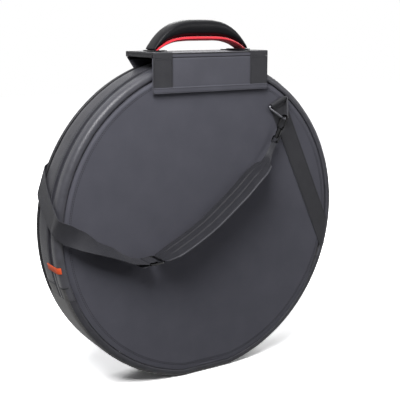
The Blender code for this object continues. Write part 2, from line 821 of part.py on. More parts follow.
def make_hook(side, label, lean, eye_turn):
    """The hook's J with its barrel and post, the gate, and the eye that the strap is sewn to."""
    metal = finish(label + "_hook_metal", (0.015, 0.015, 0.016), 0.25, 1.0)
    frame = hook_place(side, lean)
    outer = side * HOOK_HALF
    inner = -outer
    corners = [
        Vector((0, outer, HOOK_SHOULDER)),
        Vector((0, outer, HOOK_FOOT)),
        Vector((0, inner, HOOK_FOOT)),
        Vector((0, inner, HOOK_TOP)),
        Vector((0, outer, HOOK_TOP)),
        Vector((0, outer, HOOK_NOSE)),
    ]
    line = [corners[0]]
    for before, corner, after in zip(corners, corners[1:], corners[2:]):
        back = (before - corner).normalized()
        ahead = (after - corner).normalized()
        room = min((before - corner).length, (after - corner).length)
        radius = min(HOOK_CORNER, room * HOOK_CORNER_SHARE)
        middle = corner + (back + ahead) * radius
        start = -ahead * radius
        end = -back * radius
        line += [middle + turn(start, end, k / HOOK_STEPS) for k in range(HOOK_STEPS + 1)]
    line.append(corners[-1])
    hook = as_mesh(tube(label + "_hook", line, HOOK_WIRE_R, metal))
    hook.data.shade_smooth()
    zero = Vector((0, 0, 0))
    barrel = drum(label + "_barrel", zero, Vector((0, 0, HOOK_FOOT)), BARREL_R, metal)
    combine(hook, barrel, "UNION")
    post_foot = -(BOSS_T + 2 * SWIVEL_CLEAR)
    post_top = Vector((0, 0, HOOK_FOOT / 2))
    post = drum(label + "_post", Vector((0, 0, post_foot - POST_HEAD_T / 2)), post_top, POST_R, metal)
    combine(hook, post, "UNION")
    head_foot = Vector((0, 0, post_foot - POST_HEAD_T))
    combine(hook, drum(label + "_head", head_foot, Vector((0, 0, post_foot)), POST_HEAD_R, metal), "UNION")

    low = HOOK_SHOULDER + GAP
    high = HOOK_NOSE - GAP
    gate = drum(label + "_gate", zero, Vector((0, 0, high - low)), GATE_R, metal)

    boss_top = Vector((0, 0, -SWIVEL_CLEAR))
    boss_foot = Vector((0, 0, -SWIVEL_CLEAR - BOSS_T))
    eye = drum(label + "_eye", boss_foot, boss_top, BARREL_R, metal)
    middle = -SWIVEL_CLEAR - BOSS_T / 2
    frame_line = [
        Vector((0, -POST_R - 2 * EYE_WIRE_R + BARREL_R / 4, middle)),
        Vector((0, -EYE_HALF, middle - EYE_WIRE_R)),
        Vector((0, -EYE_HALF, -EYE_DROP)),
        Vector((0, EYE_HALF, -EYE_DROP)),
        Vector((0, EYE_HALF, middle - EYE_WIRE_R)),
        Vector((0, POST_R + 2 * EYE_WIRE_R - BARREL_R / 4, middle)),
    ]
    combine(eye, as_mesh(tube(label + "_eye_frame", frame_line, EYE_WIRE_R, metal)), "UNION")
    bore_foot = Vector((0, 0, -EYE_DROP / 2))
    bore_top = Vector((0, 0, EYE_DROP / 2))
    bore = drum(label + "_eye_bore", bore_foot, bore_top, POST_R + SWIVEL_CLEAR, metal)
    combine(eye, bore, "DIFFERENCE")

    for body, turned in ((hook, 0), (eye, eye_turn)):
        for change in body.modifiers:
            change.object.parent = body
        body.matrix_world = frame @ Matrix.Rotation(rad(turned), 4, "Z")
    gate.matrix_world = frame @ Matrix.Translation((0, outer, low))


# Strap


def strap_start(side, lean):
    """The eye's bar, and the place in the wall of the sleeve round it where the strap leaves."""
    frame = hook_place(side, lean)
    bar = frame @ Vector((0, 0, -EYE_DROP))
    away = (frame.to_3x3() @ Vector((0, 0, -1))).normalized()
    return bar, bar + away * (EYE_WIRE_R + SLEEVE_CLEAR + NECK_T / 4)


# Places of the standing strap on the front, as shares of the radius right of and above the centre
PAD_ROUTE_SHARES = [
    (0.375, 0.345),
    (0.285, 0.290),
    (0.165, 0.185),
    (0.052, 0.097),
    (-0.058, 0.016),
    (-0.200, -0.066),
    (-0.300, -0.115),
    (-0.385, -0.160),
]
FRONT_STRAP_SHARES = [
    (-0.580, -0.137),
    (-0.671, -0.087),
    (-0.765, -0.045),
    (-0.852, 0.004),
    (-0.948, 0.054),
]
FRONT_STRAP_OUT_SHARES = [1.12, 1.0, 0.92, 0.82, 0.72]
# The direction across the strap at its start and at each of those places
FRONT_STRAP_WAYS = [
    (0, -1, 0),
    (-0.05, -0.98, -0.15),
    (-0.15, -0.87, -0.32),
    (-0.23, -0.86, -0.41),
    (-0.38, -0.50, -0.72),
    (-0.36, 0.26, -0.89),
]
# Round the left side: angles from the top, Y places as shares of half the thickness, and how far
# the strap's cross lines follow the rim's edge there
SIDE_STRAP_ANGLES = [-84.6, -83.0, -80.6, -77.9, -75.1, -73.2]
SIDE_STRAP_Y_SHARES = [-1.16, -0.80, -0.33, 0.15, 0.58, 0.80]
SIDE_STRAP_EDGE_SHARES = [0, 0.5, 1, 1, 1, 1]
# Over the rear corner: angles from the top, and how far the strap has turned from the rim to the face
CORNER_STRAP_ANGLES = [-72.2, -71.5, -70.8]
CORNER_TURN_SHARES = [0, 0.5, 1]
# On the rear: places as shares of the radius, and how far the strap has risen to the hook
REAR_STRAP_SHARES = [(-0.898, 0.345), (-0.850, 0.370), (-0.785, 0.392), (-0.735, 0.404)]
REAR_RISE_SHARES = [0, 0.06, 0.25, 0.55]
REAR_STRAP_EDGE_SHARES = [0.8, 0.4, 0, 0]


def add_sleeve(strap, bar, way, material):
    """The sewn end of the strap, turned back round the bar of a hook's eye."""
    half = way * NECK_W / 2
    bore_r = EYE_WIRE_R + SLEEVE_CLEAR
    sleeve = drum(strap.name + "_sleeve", bar - half, bar + half, bore_r + NECK_T / 2, material)
    combine(strap, sleeve, "UNION")
    bore = drum(strap.name + "_bore", bar - 2 * half, bar + 2 * half, bore_r, material)
    combine(strap, bore, "DIFFERENCE")


def make_strap():
    woven = finish("strap_webbing", (0.06, 0.06, 0.062), 0.65)
    padded = finish("pad_cloth", (0.11, 0.11, 0.13), 0.7)
    plastic = finish("adjuster_plastic", (0.012, 0.012, 0.012), 0.25)
    out = -(HALF + STRAP_STAND)
    forward = Vector((0, -1, 0))

    # The pad's upper end keeps its distance to the hook, which fades out along the pad
    bar, start = strap_start(-1, FRONT_HOOK_LEAN)
    knots = [face_place(x * RADIUS, up * RADIUS, out - PAD_W / 2) for x, up in PAD_ROUTE_SHARES]
    shift = start - Vector((NECK_REACH, 0, NECK_DROP)) - knots[0]
    shift.y = 0
    knots = [knot + shift * (1 - i / (len(knots) - 1)) for i, knot in enumerate(knots)]
    line = smooth_line(knots, STRAP_STEPS)
    widths = []
    thicks = []
    for i in range(len(line)):
        share = i / (len(line) - 1)
        swell = min(1, min(share, 1 - share) / PAD_SWELL_SHARE)
        widths.append(PAD_END_W + (PAD_W - PAD_END_W) * swell)
        thicks.append(PAD_EDGE_T + (PAD_T - PAD_EDGE_T) * swell)
    line = [p + forward * (w - PAD_W) / 2 for p, w in zip(line, widths)]
    band("shoulder_pad", line, [forward] * len(line), widths, thicks, padded, True)

    run_in = line[1] - line[0]
    run_in = Vector((run_in.x, 0, run_in.z)).normalized()
    end = line[0] - run_in * GAP
    neck = smooth_line([start, (start + end) / 2, end], STRAP_STEPS)
    shares = [i / (len(neck) - 1) for i in range(len(neck))]
    neck_widths = [NECK_W + (WEBBING_W * NECK_END_SHARE - NECK_W) * share**2 for share in shares]
    neck_runs = [*tangents(neck)[:-1], run_in]
    neck_sides = [forward] * len(neck)
    neck_thicks = [NECK_T] * len(neck)
    neck_strap = band("strap_neck", neck, neck_sides, neck_widths, neck_thicks, woven, False, neck_runs)
    add_sleeve(neck_strap, bar, forward, woven)

    # Adjuster: a frame with a middle bar, at the pad's lower end
    run = line[-1] - line[-2]
    run = Vector((run.x, 0, run.z)).normalized()
    lean = Matrix.Rotation(rad(ADJUSTER_LEAN), 3, "Y")
    run = lean @ run
    pad_end = line[-1] + forward * (WEBBING_W - PAD_END_W) / 2
    near = pad_end + run * (GAP + ADJUSTER_WIRE_R) / math.cos(rad(ADJUSTER_LEAN))
    far = near + run * ADJUSTER_L
    side = forward * (WEBBING_W / 2 + ADJUSTER_SIDE_CLEAR + ADJUSTER_WIRE_R)
    centre = (near + far) / 2
    centre.y = -(HALF + ADJUSTER_FACE_CLEAR + ADJUSTER_WIRE_R - side.y)
    near.y = centre.y
    far.y = centre.y
    corners = [near - side, near + side, far + side, far - side]
    frame_line = rounded(corners, [ADJUSTER_CORNER] * len(corners), RING_STEPS)
    adjuster = as_mesh(tube("adjuster", frame_line, ADJUSTER_WIRE_R, plastic, True))
    adjuster.data.shade_smooth()
    combine(adjuster, drum("adjuster_bar", centre - side, centre + side, ADJUSTER_BAR_R, plastic), "UNION")

    # Webbing from the adjuster to the left edge, round the rim, and on to the rear hook's eye
    rear = Vector((0, 1, 0))
    lift = STRAP_RIM_CLEAR + STRAP_T / 2
    knots = []
    for (x, up), proud in zip(FRONT_STRAP_SHARES, FRONT_STRAP_OUT_SHARES):
        knots.append(face_place(x * RADIUS, up * RADIUS, out - WEBBING_W / 2 * proud))
    knots.insert(0, far + (knots[0] - far).normalized() * (ADJUSTER_WIRE_R + GAP))
    split = len(knots)
    outwards = []
    for angle, y in zip(SIDE_STRAP_ANGLES, SIDE_STRAP_Y_SHARES):
        knots.append(rim_point(rad(angle), -lift, HALF * y))
        outwards.append(Vector((math.sin(rad(angle)), 0, math.cos(rad(angle)))))
    for angle, share in zip(CORNER_STRAP_ANGLES, CORNER_TURN_SHARES):
        turned = share * math.pi / 2
        radial = Vector((math.sin(rad(angle)), 0, math.cos(rad(angle))))
        outwards.append(radial * math.cos(turned) + rear * math.sin(turned))
        bend_place = rim_point(rad(angle), STRAP_BEND_R - lift, HALF + lift - STRAP_BEND_R)
        knots.append(bend_place + outwards[-1] * STRAP_BEND_R)
    bar, start = strap_start(1, REAR_HOOK_LEAN)
    for (x, up), share in zip(REAR_STRAP_SHARES, REAR_RISE_SHARES):
        knots.append(face_place(x * RADIUS, up * RADIUS, HALF + lift + (start.y - HALF - lift) * share))
        outwards.append(rear)
    knots.append(start)
    outwards.append(rear)
    edge_shares = SIDE_STRAP_EDGE_SHARES + [1] * len(CORNER_STRAP_ANGLES) + REAR_STRAP_EDGE_SHARES + [0]

    steps = STRAP_STEPS
    route = smooth_line(knots, steps)
    runs = tangents(route)
    ways = [Vector(way) for way in FRONT_STRAP_WAYS]
    for i, (outward, edge_share) in enumerate(zip(outwards, edge_shares)):
        place = knots[split + i]
        square = outward.cross(runs[(split + i) * steps]).normalized()
        along_edge = Vector((place.x, 0, place.z - CENTRE_Z)).cross(rear).normalized()
        ways.append(square.lerp(along_edge / along_edge.dot(square), edge_share))
    bar_way = hook_place(1, REAR_HOOK_LEAN).to_3x3().col[0].normalized()
    ways[-1] = bar_way
    sides = [between(ways, i / steps) for i in range(len(route))]

    cut = split * steps
    front_line = route[: cut + 1]
    count = len(front_line)
    band("strap_front", front_line, sides, [WEBBING_W] * count, [STRAP_T] * count, woven, False, runs)
    rear_line = route[cut:]
    rear_line[0] = rear_line[0] + runs[cut] * GAP
    gathered = len(rear_line) - 1 - steps
    begin = gathered - GATHERED_KNOTS * steps
    shares = [min(1, max(0, i - begin) / (gathered - begin)) for i in range(len(rear_line))]
    widths = [WEBBING_W + (NECK_W - WEBBING_W) * share for share in shares]
    thicks = [STRAP_T + (NECK_T - STRAP_T) * share for share in shares]
    strap = band("strap_rear", rear_line, sides[cut:], widths, thicks, woven, False, runs[cut:])
    add_sleeve(strap, bar, bar_way, woven)


def main():
    clear_scene()
    make_shell()
    make_zip()
    make_saddle()
    make_handle()
    for side, label in ((-1, "front"), (1, "rear")):
        make_tape(side, label)
        make_ring(side, label)
    make_hook(-1, "front", FRONT_HOOK_LEAN, 0)
    make_hook(1, "rear", REAR_HOOK_LEAN, REAR_EYE_TURN)
    make_strap()


main()
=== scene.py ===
"""The looks of a round padded cymbal bag: cloth, webbing, padding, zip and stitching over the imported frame.

Round the bag, an angle is counted in degrees from the top, clockwise seen from the front, and a
depth is counted inwards from the outer surface of the rim. Outlines are tables of depth and Y, and
knots are tables of X, Y and Z, or of X and Z, all in millimetres.
"""

import json
import math

import bpy
from mathutils import Matrix, Vector

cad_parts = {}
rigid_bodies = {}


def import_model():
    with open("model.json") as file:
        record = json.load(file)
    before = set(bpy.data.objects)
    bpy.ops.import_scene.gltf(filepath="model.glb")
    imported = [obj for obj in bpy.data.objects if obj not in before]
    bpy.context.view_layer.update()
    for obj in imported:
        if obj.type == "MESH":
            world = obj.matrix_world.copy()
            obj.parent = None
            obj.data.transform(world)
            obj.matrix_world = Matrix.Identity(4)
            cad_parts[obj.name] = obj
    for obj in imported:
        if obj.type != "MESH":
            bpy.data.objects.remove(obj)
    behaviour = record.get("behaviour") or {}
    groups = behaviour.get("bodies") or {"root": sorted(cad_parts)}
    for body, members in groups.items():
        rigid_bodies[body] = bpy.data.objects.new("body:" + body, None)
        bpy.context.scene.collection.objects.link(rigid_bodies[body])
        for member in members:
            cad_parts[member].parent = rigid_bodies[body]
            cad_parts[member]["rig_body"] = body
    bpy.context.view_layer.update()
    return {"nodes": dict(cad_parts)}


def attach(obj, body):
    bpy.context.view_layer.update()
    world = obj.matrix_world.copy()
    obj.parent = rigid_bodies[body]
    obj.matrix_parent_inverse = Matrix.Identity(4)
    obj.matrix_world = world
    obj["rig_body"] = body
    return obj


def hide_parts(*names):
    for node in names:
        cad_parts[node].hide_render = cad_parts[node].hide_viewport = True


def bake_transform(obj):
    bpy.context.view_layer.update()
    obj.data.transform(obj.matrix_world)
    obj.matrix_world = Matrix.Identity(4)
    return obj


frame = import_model()

mm = 0.001
rad = math.radians
RIGHT = Vector((1, 0, 0))
REARWARD = Vector((0, 1, 0))
FORWARD = Vector((0, -1, 0))
UP = Vector((0, 0, 1))

# The bag, as in the CAD
RADIUS = 310 * mm
CENTRE_Z = 305 * mm
CENTRE = Vector((0, 0, CENTRE_Z))
HALF = 46 * mm
FOLD_Z = 197 * mm
GAP = 0.3 * mm
ZIP_END = 99.5
ZIP_Y = -18 * mm
SADDLE_X = 7 * mm
SADDLE_HALF = 125 * mm
SADDLE_Z = 617 * mm
SADDLE_TOP = 625 * mm
SADDLE_HALF_Y = 51 * mm
FLAP_TOP = 616.7 * mm
FLAP_FOOT = 553.7 * mm
FLAP_T = 3 * mm
REAR_FLAP_TAPER = 42 * mm
BAND_W = 40 * mm
BAND_T = 1.6 * mm
WEBBING_W = 38 * mm
DIVIDER_R = 276 * mm
DIVIDER_Z = 283.3 * mm
DIVIDER_T = 3 * mm
DIVIDER_YS = (-12.42 * mm, 13.34 * mm)

# How finely the new pieces are made
RIM_STEPS = 180
ROUTE_STEPS = 10
MERGE = 0.01 * mm


# Colours and materials

# Webbing's ribs and picks, drawn a little coarse to show
RIB = 2.4 * mm
PICK = 1.9 * mm
PICK_LEAN = 0.35 * mm
RIB_RELIEF = 0.25 * mm
SHADE_LUMP = 18 * mm
# Marks on moulded and plated finishes
FLOW_MARK = 6 * mm
SCUFF = 0.9 * mm
SCUFF_RELIEF = 0.05 * mm


def linear(code):
    """A linear colour from an sRGB hex value."""
    shares = [int(code[i : i + 2], 16) / 255 for i in (1, 3, 5)]
    return (*[c / 12.92 if c <= 0.04045 else ((c + 0.055) / 1.055) ** 2.4 for c in shares], 1)


def add(tree, kind, inputs=None, **settings):
    """Adds a node with its settings; each input is linked if it is a socket and set if it is a value."""
    made = tree.nodes.new("ShaderNode" + kind)
    for name, value in settings.items():
        setattr(made, name, value)
    for name, value in (inputs or {}).items():
        if isinstance(value, bpy.types.NodeSocket):
            tree.links.new(value, made.inputs[name])
        else:
            made.inputs[name].default_value = value
    return made


def start_material(name, roughness, **sockets):
    """A material with a Principled shader, whose even values go on its own sockets."""
    made = bpy.data.materials.new(name)
    made.use_nodes = True
    tree = made.node_tree
    shader = tree.nodes["Principled BSDF"]
    shader.inputs["Roughness"].default_value = roughness
    for socket, value in sockets.items():
        shader.inputs[socket.replace("_", " ")].default_value = value
    return made, tree, shader


def places(tree, way):
    """Two lengths on a surface: over a flat piece, round and across the rim, or on a piece's UV map."""
    coordinates = add(tree, "TexCoord")
    if way == "strap":
        split = add(tree, "SeparateXYZ", {0: coordinates.outputs["UV"]})
        return split.outputs[0], split.outputs[1]
    split = add(tree, "SeparateXYZ", {0: coordinates.outputs["Object"]})
    across, deep, up = split.outputs
    if way == "flat":
        return across, add(tree, "Math", {0: up, 1: deep}, operation="ADD").outputs[0]
    over = add(tree, "Math", {0: up, 1: CENTRE_Z}, operation="SUBTRACT").outputs[0]
    turn = add(tree, "Math", {0: across, 1: over}, operation="ARCTAN2").outputs[0]
    return add(tree, "Math", {0: turn, 1: RADIUS}, operation="MULTIPLY").outputs[0], deep


def wave(tree, place, pitch):
    """A sine along a length, with one crest for each pitch."""
    turn = add(tree, "Math", {0: place, 1: 2 * math.pi / pitch}, operation="MULTIPLY").outputs[0]
    return add(tree, "Math", {0: turn}, operation="SINE").outputs[0]


def cover(tree, shader, light, dark, share, height, relief):
    """Gives a shader a colour between two, by a share, and a relief, by a height."""
    blend = add(tree, "Mix", {0: share, 6: linear(dark), 7: linear(light)}, data_type="RGBA")
    tree.links.new(blend.outputs[2], shader.inputs["Base Color"])
    bump = add(tree, "Bump", {"Height": height, "Distance": relief, "Strength": 1.0})
    tree.links.new(bump.outputs[0], shader.inputs["Normal"])


def woven(name, way, pitch, light, dark, roughness, relief, sheen=0.06, lump=45 * mm, gloss=0.14):
    """Plain-woven synthetic cloth: threads over and under each other, with a soft uneven shade."""
    made, tree, shader = start_material(
        name, roughness, Sheen_Weight=sheen, Sheen_Roughness=0.45, Specular_IOR_Level=gloss
    )
    across, along = places(tree, way)
    warp = wave(tree, across, pitch)
    weft = wave(tree, along, pitch)
    threads = add(tree, "Math", {0: warp, 1: weft}, operation="MULTIPLY").outputs[0]
    height = add(tree, "MapRange", {0: threads, 3: 0.25, 4: 0.75}).outputs[0]
    place = add(tree, "TexCoord").outputs["Object"]
    shade = add(tree, "TexNoise", {"Vector": place, "Scale": 1 / lump, "Detail": 3.0}).outputs["Fac"]
    share = add(tree, "Mix", {0: 0.72, 2: height, 3: shade}, data_type="FLOAT").outputs[0]
    cover(tree, shader, light, dark, share, height, relief)
    rubs = add(tree, "TexNoise", {"Vector": place, "Scale": 6 / lump, "Detail": 3.0}).outputs["Fac"]
    uneven = add(tree, "MapRange", {0: rubs, 3: roughness - 0.08, 4: roughness + 0.1}).outputs[0]
    tree.links.new(uneven, shader.inputs["Roughness"])
    return made


def ribbed(name, light, dark, roughness):
    """Polyester webbing: ribs along it, crossed by picks that lean over each rib."""
    made, tree, shader = start_material(
        name, roughness, Sheen_Weight=0.06, Sheen_Roughness=0.4, Specular_IOR_Level=0.2
    )
    across, along = places(tree, "strap")
    ribs = wave(tree, across, RIB)
    shift = add(tree, "Math", {0: ribs, 1: PICK_LEAN}, operation="MULTIPLY").outputs[0]
    picks = wave(tree, add(tree, "Math", {0: along, 1: shift}, operation="ADD").outputs[0], PICK)
    crossed = add(tree, "Math", {0: ribs, 1: picks}, operation="MULTIPLY").outputs[0]
    both = add(tree, "Math", {0: crossed, 1: ribs}, operation="ADD").outputs[0]
    height = add(tree, "MapRange", {0: both, 3: 0.2, 4: 0.8}).outputs[0]
    place = add(tree, "TexCoord").outputs["Object"]
    shade = add(tree, "TexNoise", {"Vector": place, "Scale": 1 / SHADE_LUMP, "Detail": 3.0}).outputs["Fac"]
    share = add(tree, "Mix", {0: 0.5, 2: height, 3: shade}, data_type="FLOAT").outputs[0]
    cover(tree, shader, light, dark, share, height, RIB_RELIEF)
    return made


def grained(name, light, dark, roughness, grain, relief, gloss=0.28):
    """Vinyl-coated cloth or rubber with a pebbled grain, worn a little paler on its raised edges, and with
    pale specks painted on the grain as painted highlights.
    """
    made, tree, shader = start_material(name, roughness, Specular_IOR_Level=gloss)
    place = add(tree, "TexCoord").outputs["Object"]
    cells = add(tree, "TexVoronoi", {"Vector": place, "Scale": 1 / grain}, feature="SMOOTH_F1")
    height = cells.outputs["Distance"]
    edges = add(tree, "NewGeometry").outputs["Pointiness"]
    wear = add(tree, "MapRange", {0: edges, 3: -3.0, 4: 3.6}).outputs[0]
    shade = add(tree, "TexNoise", {"Vector": place, "Scale": 1 / (12 * grain), "Detail": 3.0}).outputs["Fac"]
    worn = add(tree, "Mix", {0: 0.4, 2: wear, 3: shade}, data_type="FLOAT").outputs[0]
    # Pale specks at the middle of each grain cell: painted highlights on the pebbles
    pebble = add(tree, "MapRange", {0: height, 3: 0.55, 4: -0.15}).outputs[0]
    share = add(tree, "Math", {0: worn, 1: pebble}, operation="ADD").outputs[0]
    cover(tree, shader, light, dark, share, height, relief)
    uneven = add(tree, "MapRange", {0: height, 3: roughness + 0.1, 4: roughness - 0.1}).outputs[0]
    tree.links.new(uneven, shader.inputs["Roughness"])
    return made


def moulded(name, light, dark, roughness, **sockets):
    """A smooth hard finish with faint flow marks and fine scuffs."""
    made, tree, shader = start_material(name, roughness, **sockets)
    place = add(tree, "TexCoord").outputs["Object"]
    flow = add(tree, "TexNoise", {"Vector": place, "Scale": 1 / FLOW_MARK, "Detail": 3.0}).outputs["Fac"]
    scuffs = add(tree, "TexNoise", {"Vector": place, "Scale": 1 / SCUFF, "Detail": 6.0}).outputs["Fac"]
    cover(tree, shader, light, dark, flow, scuffs, SCUFF_RELIEF)
    uneven = add(tree, "MapRange", {0: scuffs, 3: roughness - 0.07, 4: roughness + 0.12}).outputs[0]
    tree.links.new(uneven, shader.inputs["Roughness"])
    return made


# Threads of 0.4 mm are too fine to show in the render, so canvas is drawn about three times as coarse
THREADS = 1.3 * mm
WEAVE_RELIEF = 0.12 * mm
# Size of the light and dark patches painted on the rim's cloth as painted crease shade and highlights, and of
# its uneven shine
PAINTED_CREASE_PATCH = 13 * mm

# Coated polyester canvas: dark slate, semi-matt, with a faint grid of threads close up
CANVAS = woven("polyester_canvas", "flat", THREADS, "#5c5c65", "#4b4b53", 0.6, WEAVE_RELIEF)
# The same canvas pulled over the rim's foam roll, where it shines; painted darker as painted shade, mottled
# with painted crease shade and highlights
RIM_CANVAS = woven(
    "polyester_canvas_rim", "rim", THREADS, "#505058", "#2a2a2f", 0.32, WEAVE_RELIEF, lump=PAINTED_CREASE_PATCH, gloss=0.4
)
# The same canvas behind the zip and below the fold, rubbed duller; painted darker as painted shade, mottled
# with painted crease shade and highlights
REAR_CANVAS = woven(
    "polyester_canvas_rear", "rim", THREADS, "#46464d", "#26262a", 0.4, WEAVE_RELIEF, lump=PAINTED_CREASE_PATCH, gloss=0.25
)
# The same canvas on the saddle, with the weave a little more open
SADDLE_CANVAS = woven("saddle_canvas", "flat", 1.6 * mm, "#5e5e67", "#4c4c53", 0.6, 0.15 * mm)
# The same canvas on the shoulder pad, semi-matt too, painted darker as painted shade
PAD_CANVAS = woven(
    "pad_canvas", "strap", THREADS, "#36363b", "#26262a", 0.52, WEAVE_RELIEF, lump=14 * mm, gloss=0.16
)
# Brushed knit on the pad's back and inside the bag, near black with hardly any gloss
LINING = woven("brushed_knit", "flat", 1.1 * mm, "#2b2b2f", "#1e1e21", 0.92, 0.2 * mm, sheen=0.15)
# Crimson mesh cloth under the handle, bright, with a velvet edge to its colour
CRIMSON = woven(
    "crimson_mesh_cloth", "flat", 1.8 * mm, "#f53a48", "#dc2836", 0.55, 0.25 * mm, sheen=0.4, lump=12 * mm
)
# Grosgrain ribbon of the zip's end tabs, a clear matt orange
TAB_RIBBON = woven(
    "grosgrain_ribbon", "rim", 1.5 * mm, "#ff7c50", "#ff5c30", 0.5, 0.2 * mm, lump=8 * mm, gloss=0.06
)
# Twill tape that the zip is woven into, the darkest cloth on the bag
ZIP_TWILL = woven("zip_twill", "rim", 1.2 * mm, "#151517", "#0e0e10", 0.75, 0.15 * mm)
# Pebbled vinyl cloth of the hard-wearing base: near black with pale worn edges and pale specks painted on its
# pebbles as painted highlights, coarse enough to show
BASE_VINYL = grained("pebbled_vinyl", "#686767", "#1a1a1b", 0.5, 3.4 * mm, 0.6 * mm)
# Extruded vinyl piping cord, smooth and near black with a low shine
PIPING_VINYL = grained("piping_vinyl", "#2a2a2d", "#1c1c1f", 0.42, 1.4 * mm, 0.08 * mm)
# The narrow beads beside the zip and on the pad's near edge, the same cord under thin cloth, painted paler as
# a painted highlight along them
BEAD_VINYL = grained("bead_vinyl", "#45454b", "#333338", 0.38, 1.4 * mm, 0.05 * mm)
# Foam rubber skin of the carrying handle, black with a soft shine
GRIP_SKIN = grained("rubber_skin", "#111115", "#070709", 0.4, 1.8 * mm, 0.12 * mm, gloss=0.16)
# Polyester webbing of the bands and tapes, dull charcoal with its ribs showing
WEBBING = ribbed("polyester_webbing", "#434347", "#2e2e31", 0.62)
# The strap's webbing is darker, and smoother from use
STRAP_WEBBING = ribbed("strap_webbing_weave", "#3b3b40", "#28282c", 0.5)
# Bonded nylon thread, darker than the cloth it holds and dull
THREAD = moulded("nylon_thread", "#2e2e31", "#1f1f22", 0.6, Specular_IOR_Level=0.1)
# Nylon coil of the zip, drawn from monofilament, so black and shiny
ZIP_NYLON = moulded("coil_nylon", "#18181a", "#0e0e0f", 0.34, Specular_IOR_Level=0.35)
# Moulded nylon of the adjuster, black with sharp highlights on its edges
ADJUSTER_NYLON = moulded("moulded_nylon", "#0e0e0f", "#070708", 0.2, Specular_IOR_Level=0.35)
# Black nickel plate over die-cast zinc, as dark as the strap but for small bright glints
BLACK_NICKEL = moulded(
    "black_nickel", "#1c1c1e", "#111112", 0.2, Metallic=1.0, Coat_Weight=0.5, Coat_Roughness=0.05
)
# Gunmetal finish on the steel rings, a grey shine
RING_STEEL = moulded("gunmetal_steel", "#5e5e62", "#47474b", 0.3, Metallic=1.0)
# Painted zinc of the zip's sliders and pulls, dark satin
SLIDER_ZINC = moulded("painted_zinc", "#2b2b2d", "#1d1d1f", 0.38, Metallic=1.0)


# Making pieces


def deselect():
    bpy.ops.object.select_all(action="DESELECT")


def edit(select="SELECT"):
    bpy.ops.object.mode_set(mode="EDIT")
    bpy.ops.mesh.select_mode(type="VERT")
    bpy.ops.mesh.select_all(action=select)


def leave():
    bpy.ops.object.mode_set(mode="OBJECT")


def just_added(name, material):
    """Names the primitive that was just added, gives it its material, and puts its place in its mesh."""
    piece = bpy.context.object
    bpy.ops.object.transform_apply(location=True, rotation=True, scale=True)
    piece.name = name
    piece.data.name = name
    piece.data.materials.append(material)
    return piece


def active(piece):
    deselect()
    piece.select_set(True)
    bpy.context.view_layer.objects.active = piece
    return piece


def apply_modifier(piece, kind, **settings):
    active(piece)
    change = piece.modifiers.new(kind.lower(), kind)
    for name, value in settings.items():
        setattr(change, name, value)
    bpy.ops.object.modifier_apply(modifier=change.name)


def round_edges(piece, width, segments, sharp):
    """Rounds the edges that are sharper than an angle."""
    limit = rad(sharp)
    apply_modifier(piece, "BEVEL", width=width, segments=segments, limit_method="ANGLE", angle_limit=limit)


def settle(piece, body, nodes=(), angle=40):
    """Shades a finished piece, puts it on its body, or only bakes its place into its mesh where it spans two,
    and hides the CAD nodes it stands for.
    """
    active(piece)
    bpy.ops.object.shade_smooth_by_angle(angle=rad(angle))
    if isinstance(body, str):
        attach(piece, body)
    else:
        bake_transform(piece)
    if nodes:
        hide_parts(*nodes)
    return piece


def new_piece(name, mesh):
    piece = bpy.data.objects.new(name, mesh)
    bpy.context.scene.collection.objects.link(piece)
    return active(piece)


def around(angle, depth, y):
    """A point of the rim before the bag's foot is flattened."""
    reach = RADIUS - depth
    return CENTRE + Vector((reach * math.sin(rad(angle)), y, reach * math.cos(rad(angle))))


def stand(piece):
    """Flattens what hangs below the floor, as the bag's weight does, and less so further in."""
    for vertex in piece.data.vertices:
        x, _, z = vertex.co - CENTRE
        reach = math.hypot(x, z)
        if reach and -z / reach * RADIUS > CENTRE_Z:
            spare = RADIUS - CENTRE_Z * reach / -z
            kept = reach - spare * min(1, reach / RADIUS) ** 2
            vertex.co.x *= kept / reach
            vertex.co.z = CENTRE_Z + z * kept / reach


def spun(name, outline, material, start=0, stop=360, levels=()):
    """A rim piece: a closed outline spun round the bag's axis, then cut flat above or below given heights."""
    deselect()
    bpy.ops.mesh.primitive_circle_add(vertices=len(outline), radius=RADIUS)
    piece = just_added(name, material)
    for vertex, (depth, y) in zip(piece.data.vertices, outline):
        vertex.co = around(start, depth * mm, y * mm)
    edit()
    steps = max(2, round(RIM_STEPS * (stop - start) / 360))
    bpy.ops.mesh.spin(steps=steps, angle=rad(stop - start), center=CENTRE, axis=FORWARD)
    bpy.ops.mesh.select_all(action="SELECT")
    bpy.ops.mesh.remove_doubles(threshold=MERGE)
    for level, above in levels:
        bpy.ops.mesh.select_all(action="SELECT")
        bpy.ops.mesh.bisect(
            plane_co=(0, 0, level), plane_no=UP, use_fill=True, clear_inner=above, clear_outer=not above
        )
    bpy.ops.mesh.select_all(action="SELECT")
    if stop - start < 360:
        bpy.ops.mesh.fill_holes(sides=0)
    bpy.ops.mesh.delete_loose(use_verts=True, use_edges=True, use_faces=False)
    bpy.ops.mesh.select_all(action="SELECT")
    bpy.ops.mesh.normals_make_consistent(inside=False)
    leave()
    stand(piece)
    return piece


def soften(piece, strength, size):
    """Slight lumps of a given height and spread, as cloth over foam has, but never below the floor."""
    cloud = bpy.data.textures.new(piece.name + "_lumps", "CLOUDS")
    cloud.noise_scale = size
    apply_modifier(piece, "DISPLACE", texture=cloud, strength=strength, mid_level=0.5, texture_coords="LOCAL")
    for vertex in piece.data.vertices:
        vertex.co.z = max(0, vertex.co.z)


def lined(piece, material, test):
    """Gives the faces whose middle and normal pass a test another material."""
    piece.data.materials.append(material)
    for face in piece.data.polygons:
        if test(face.center, face.normal):
            face.material_index = 1


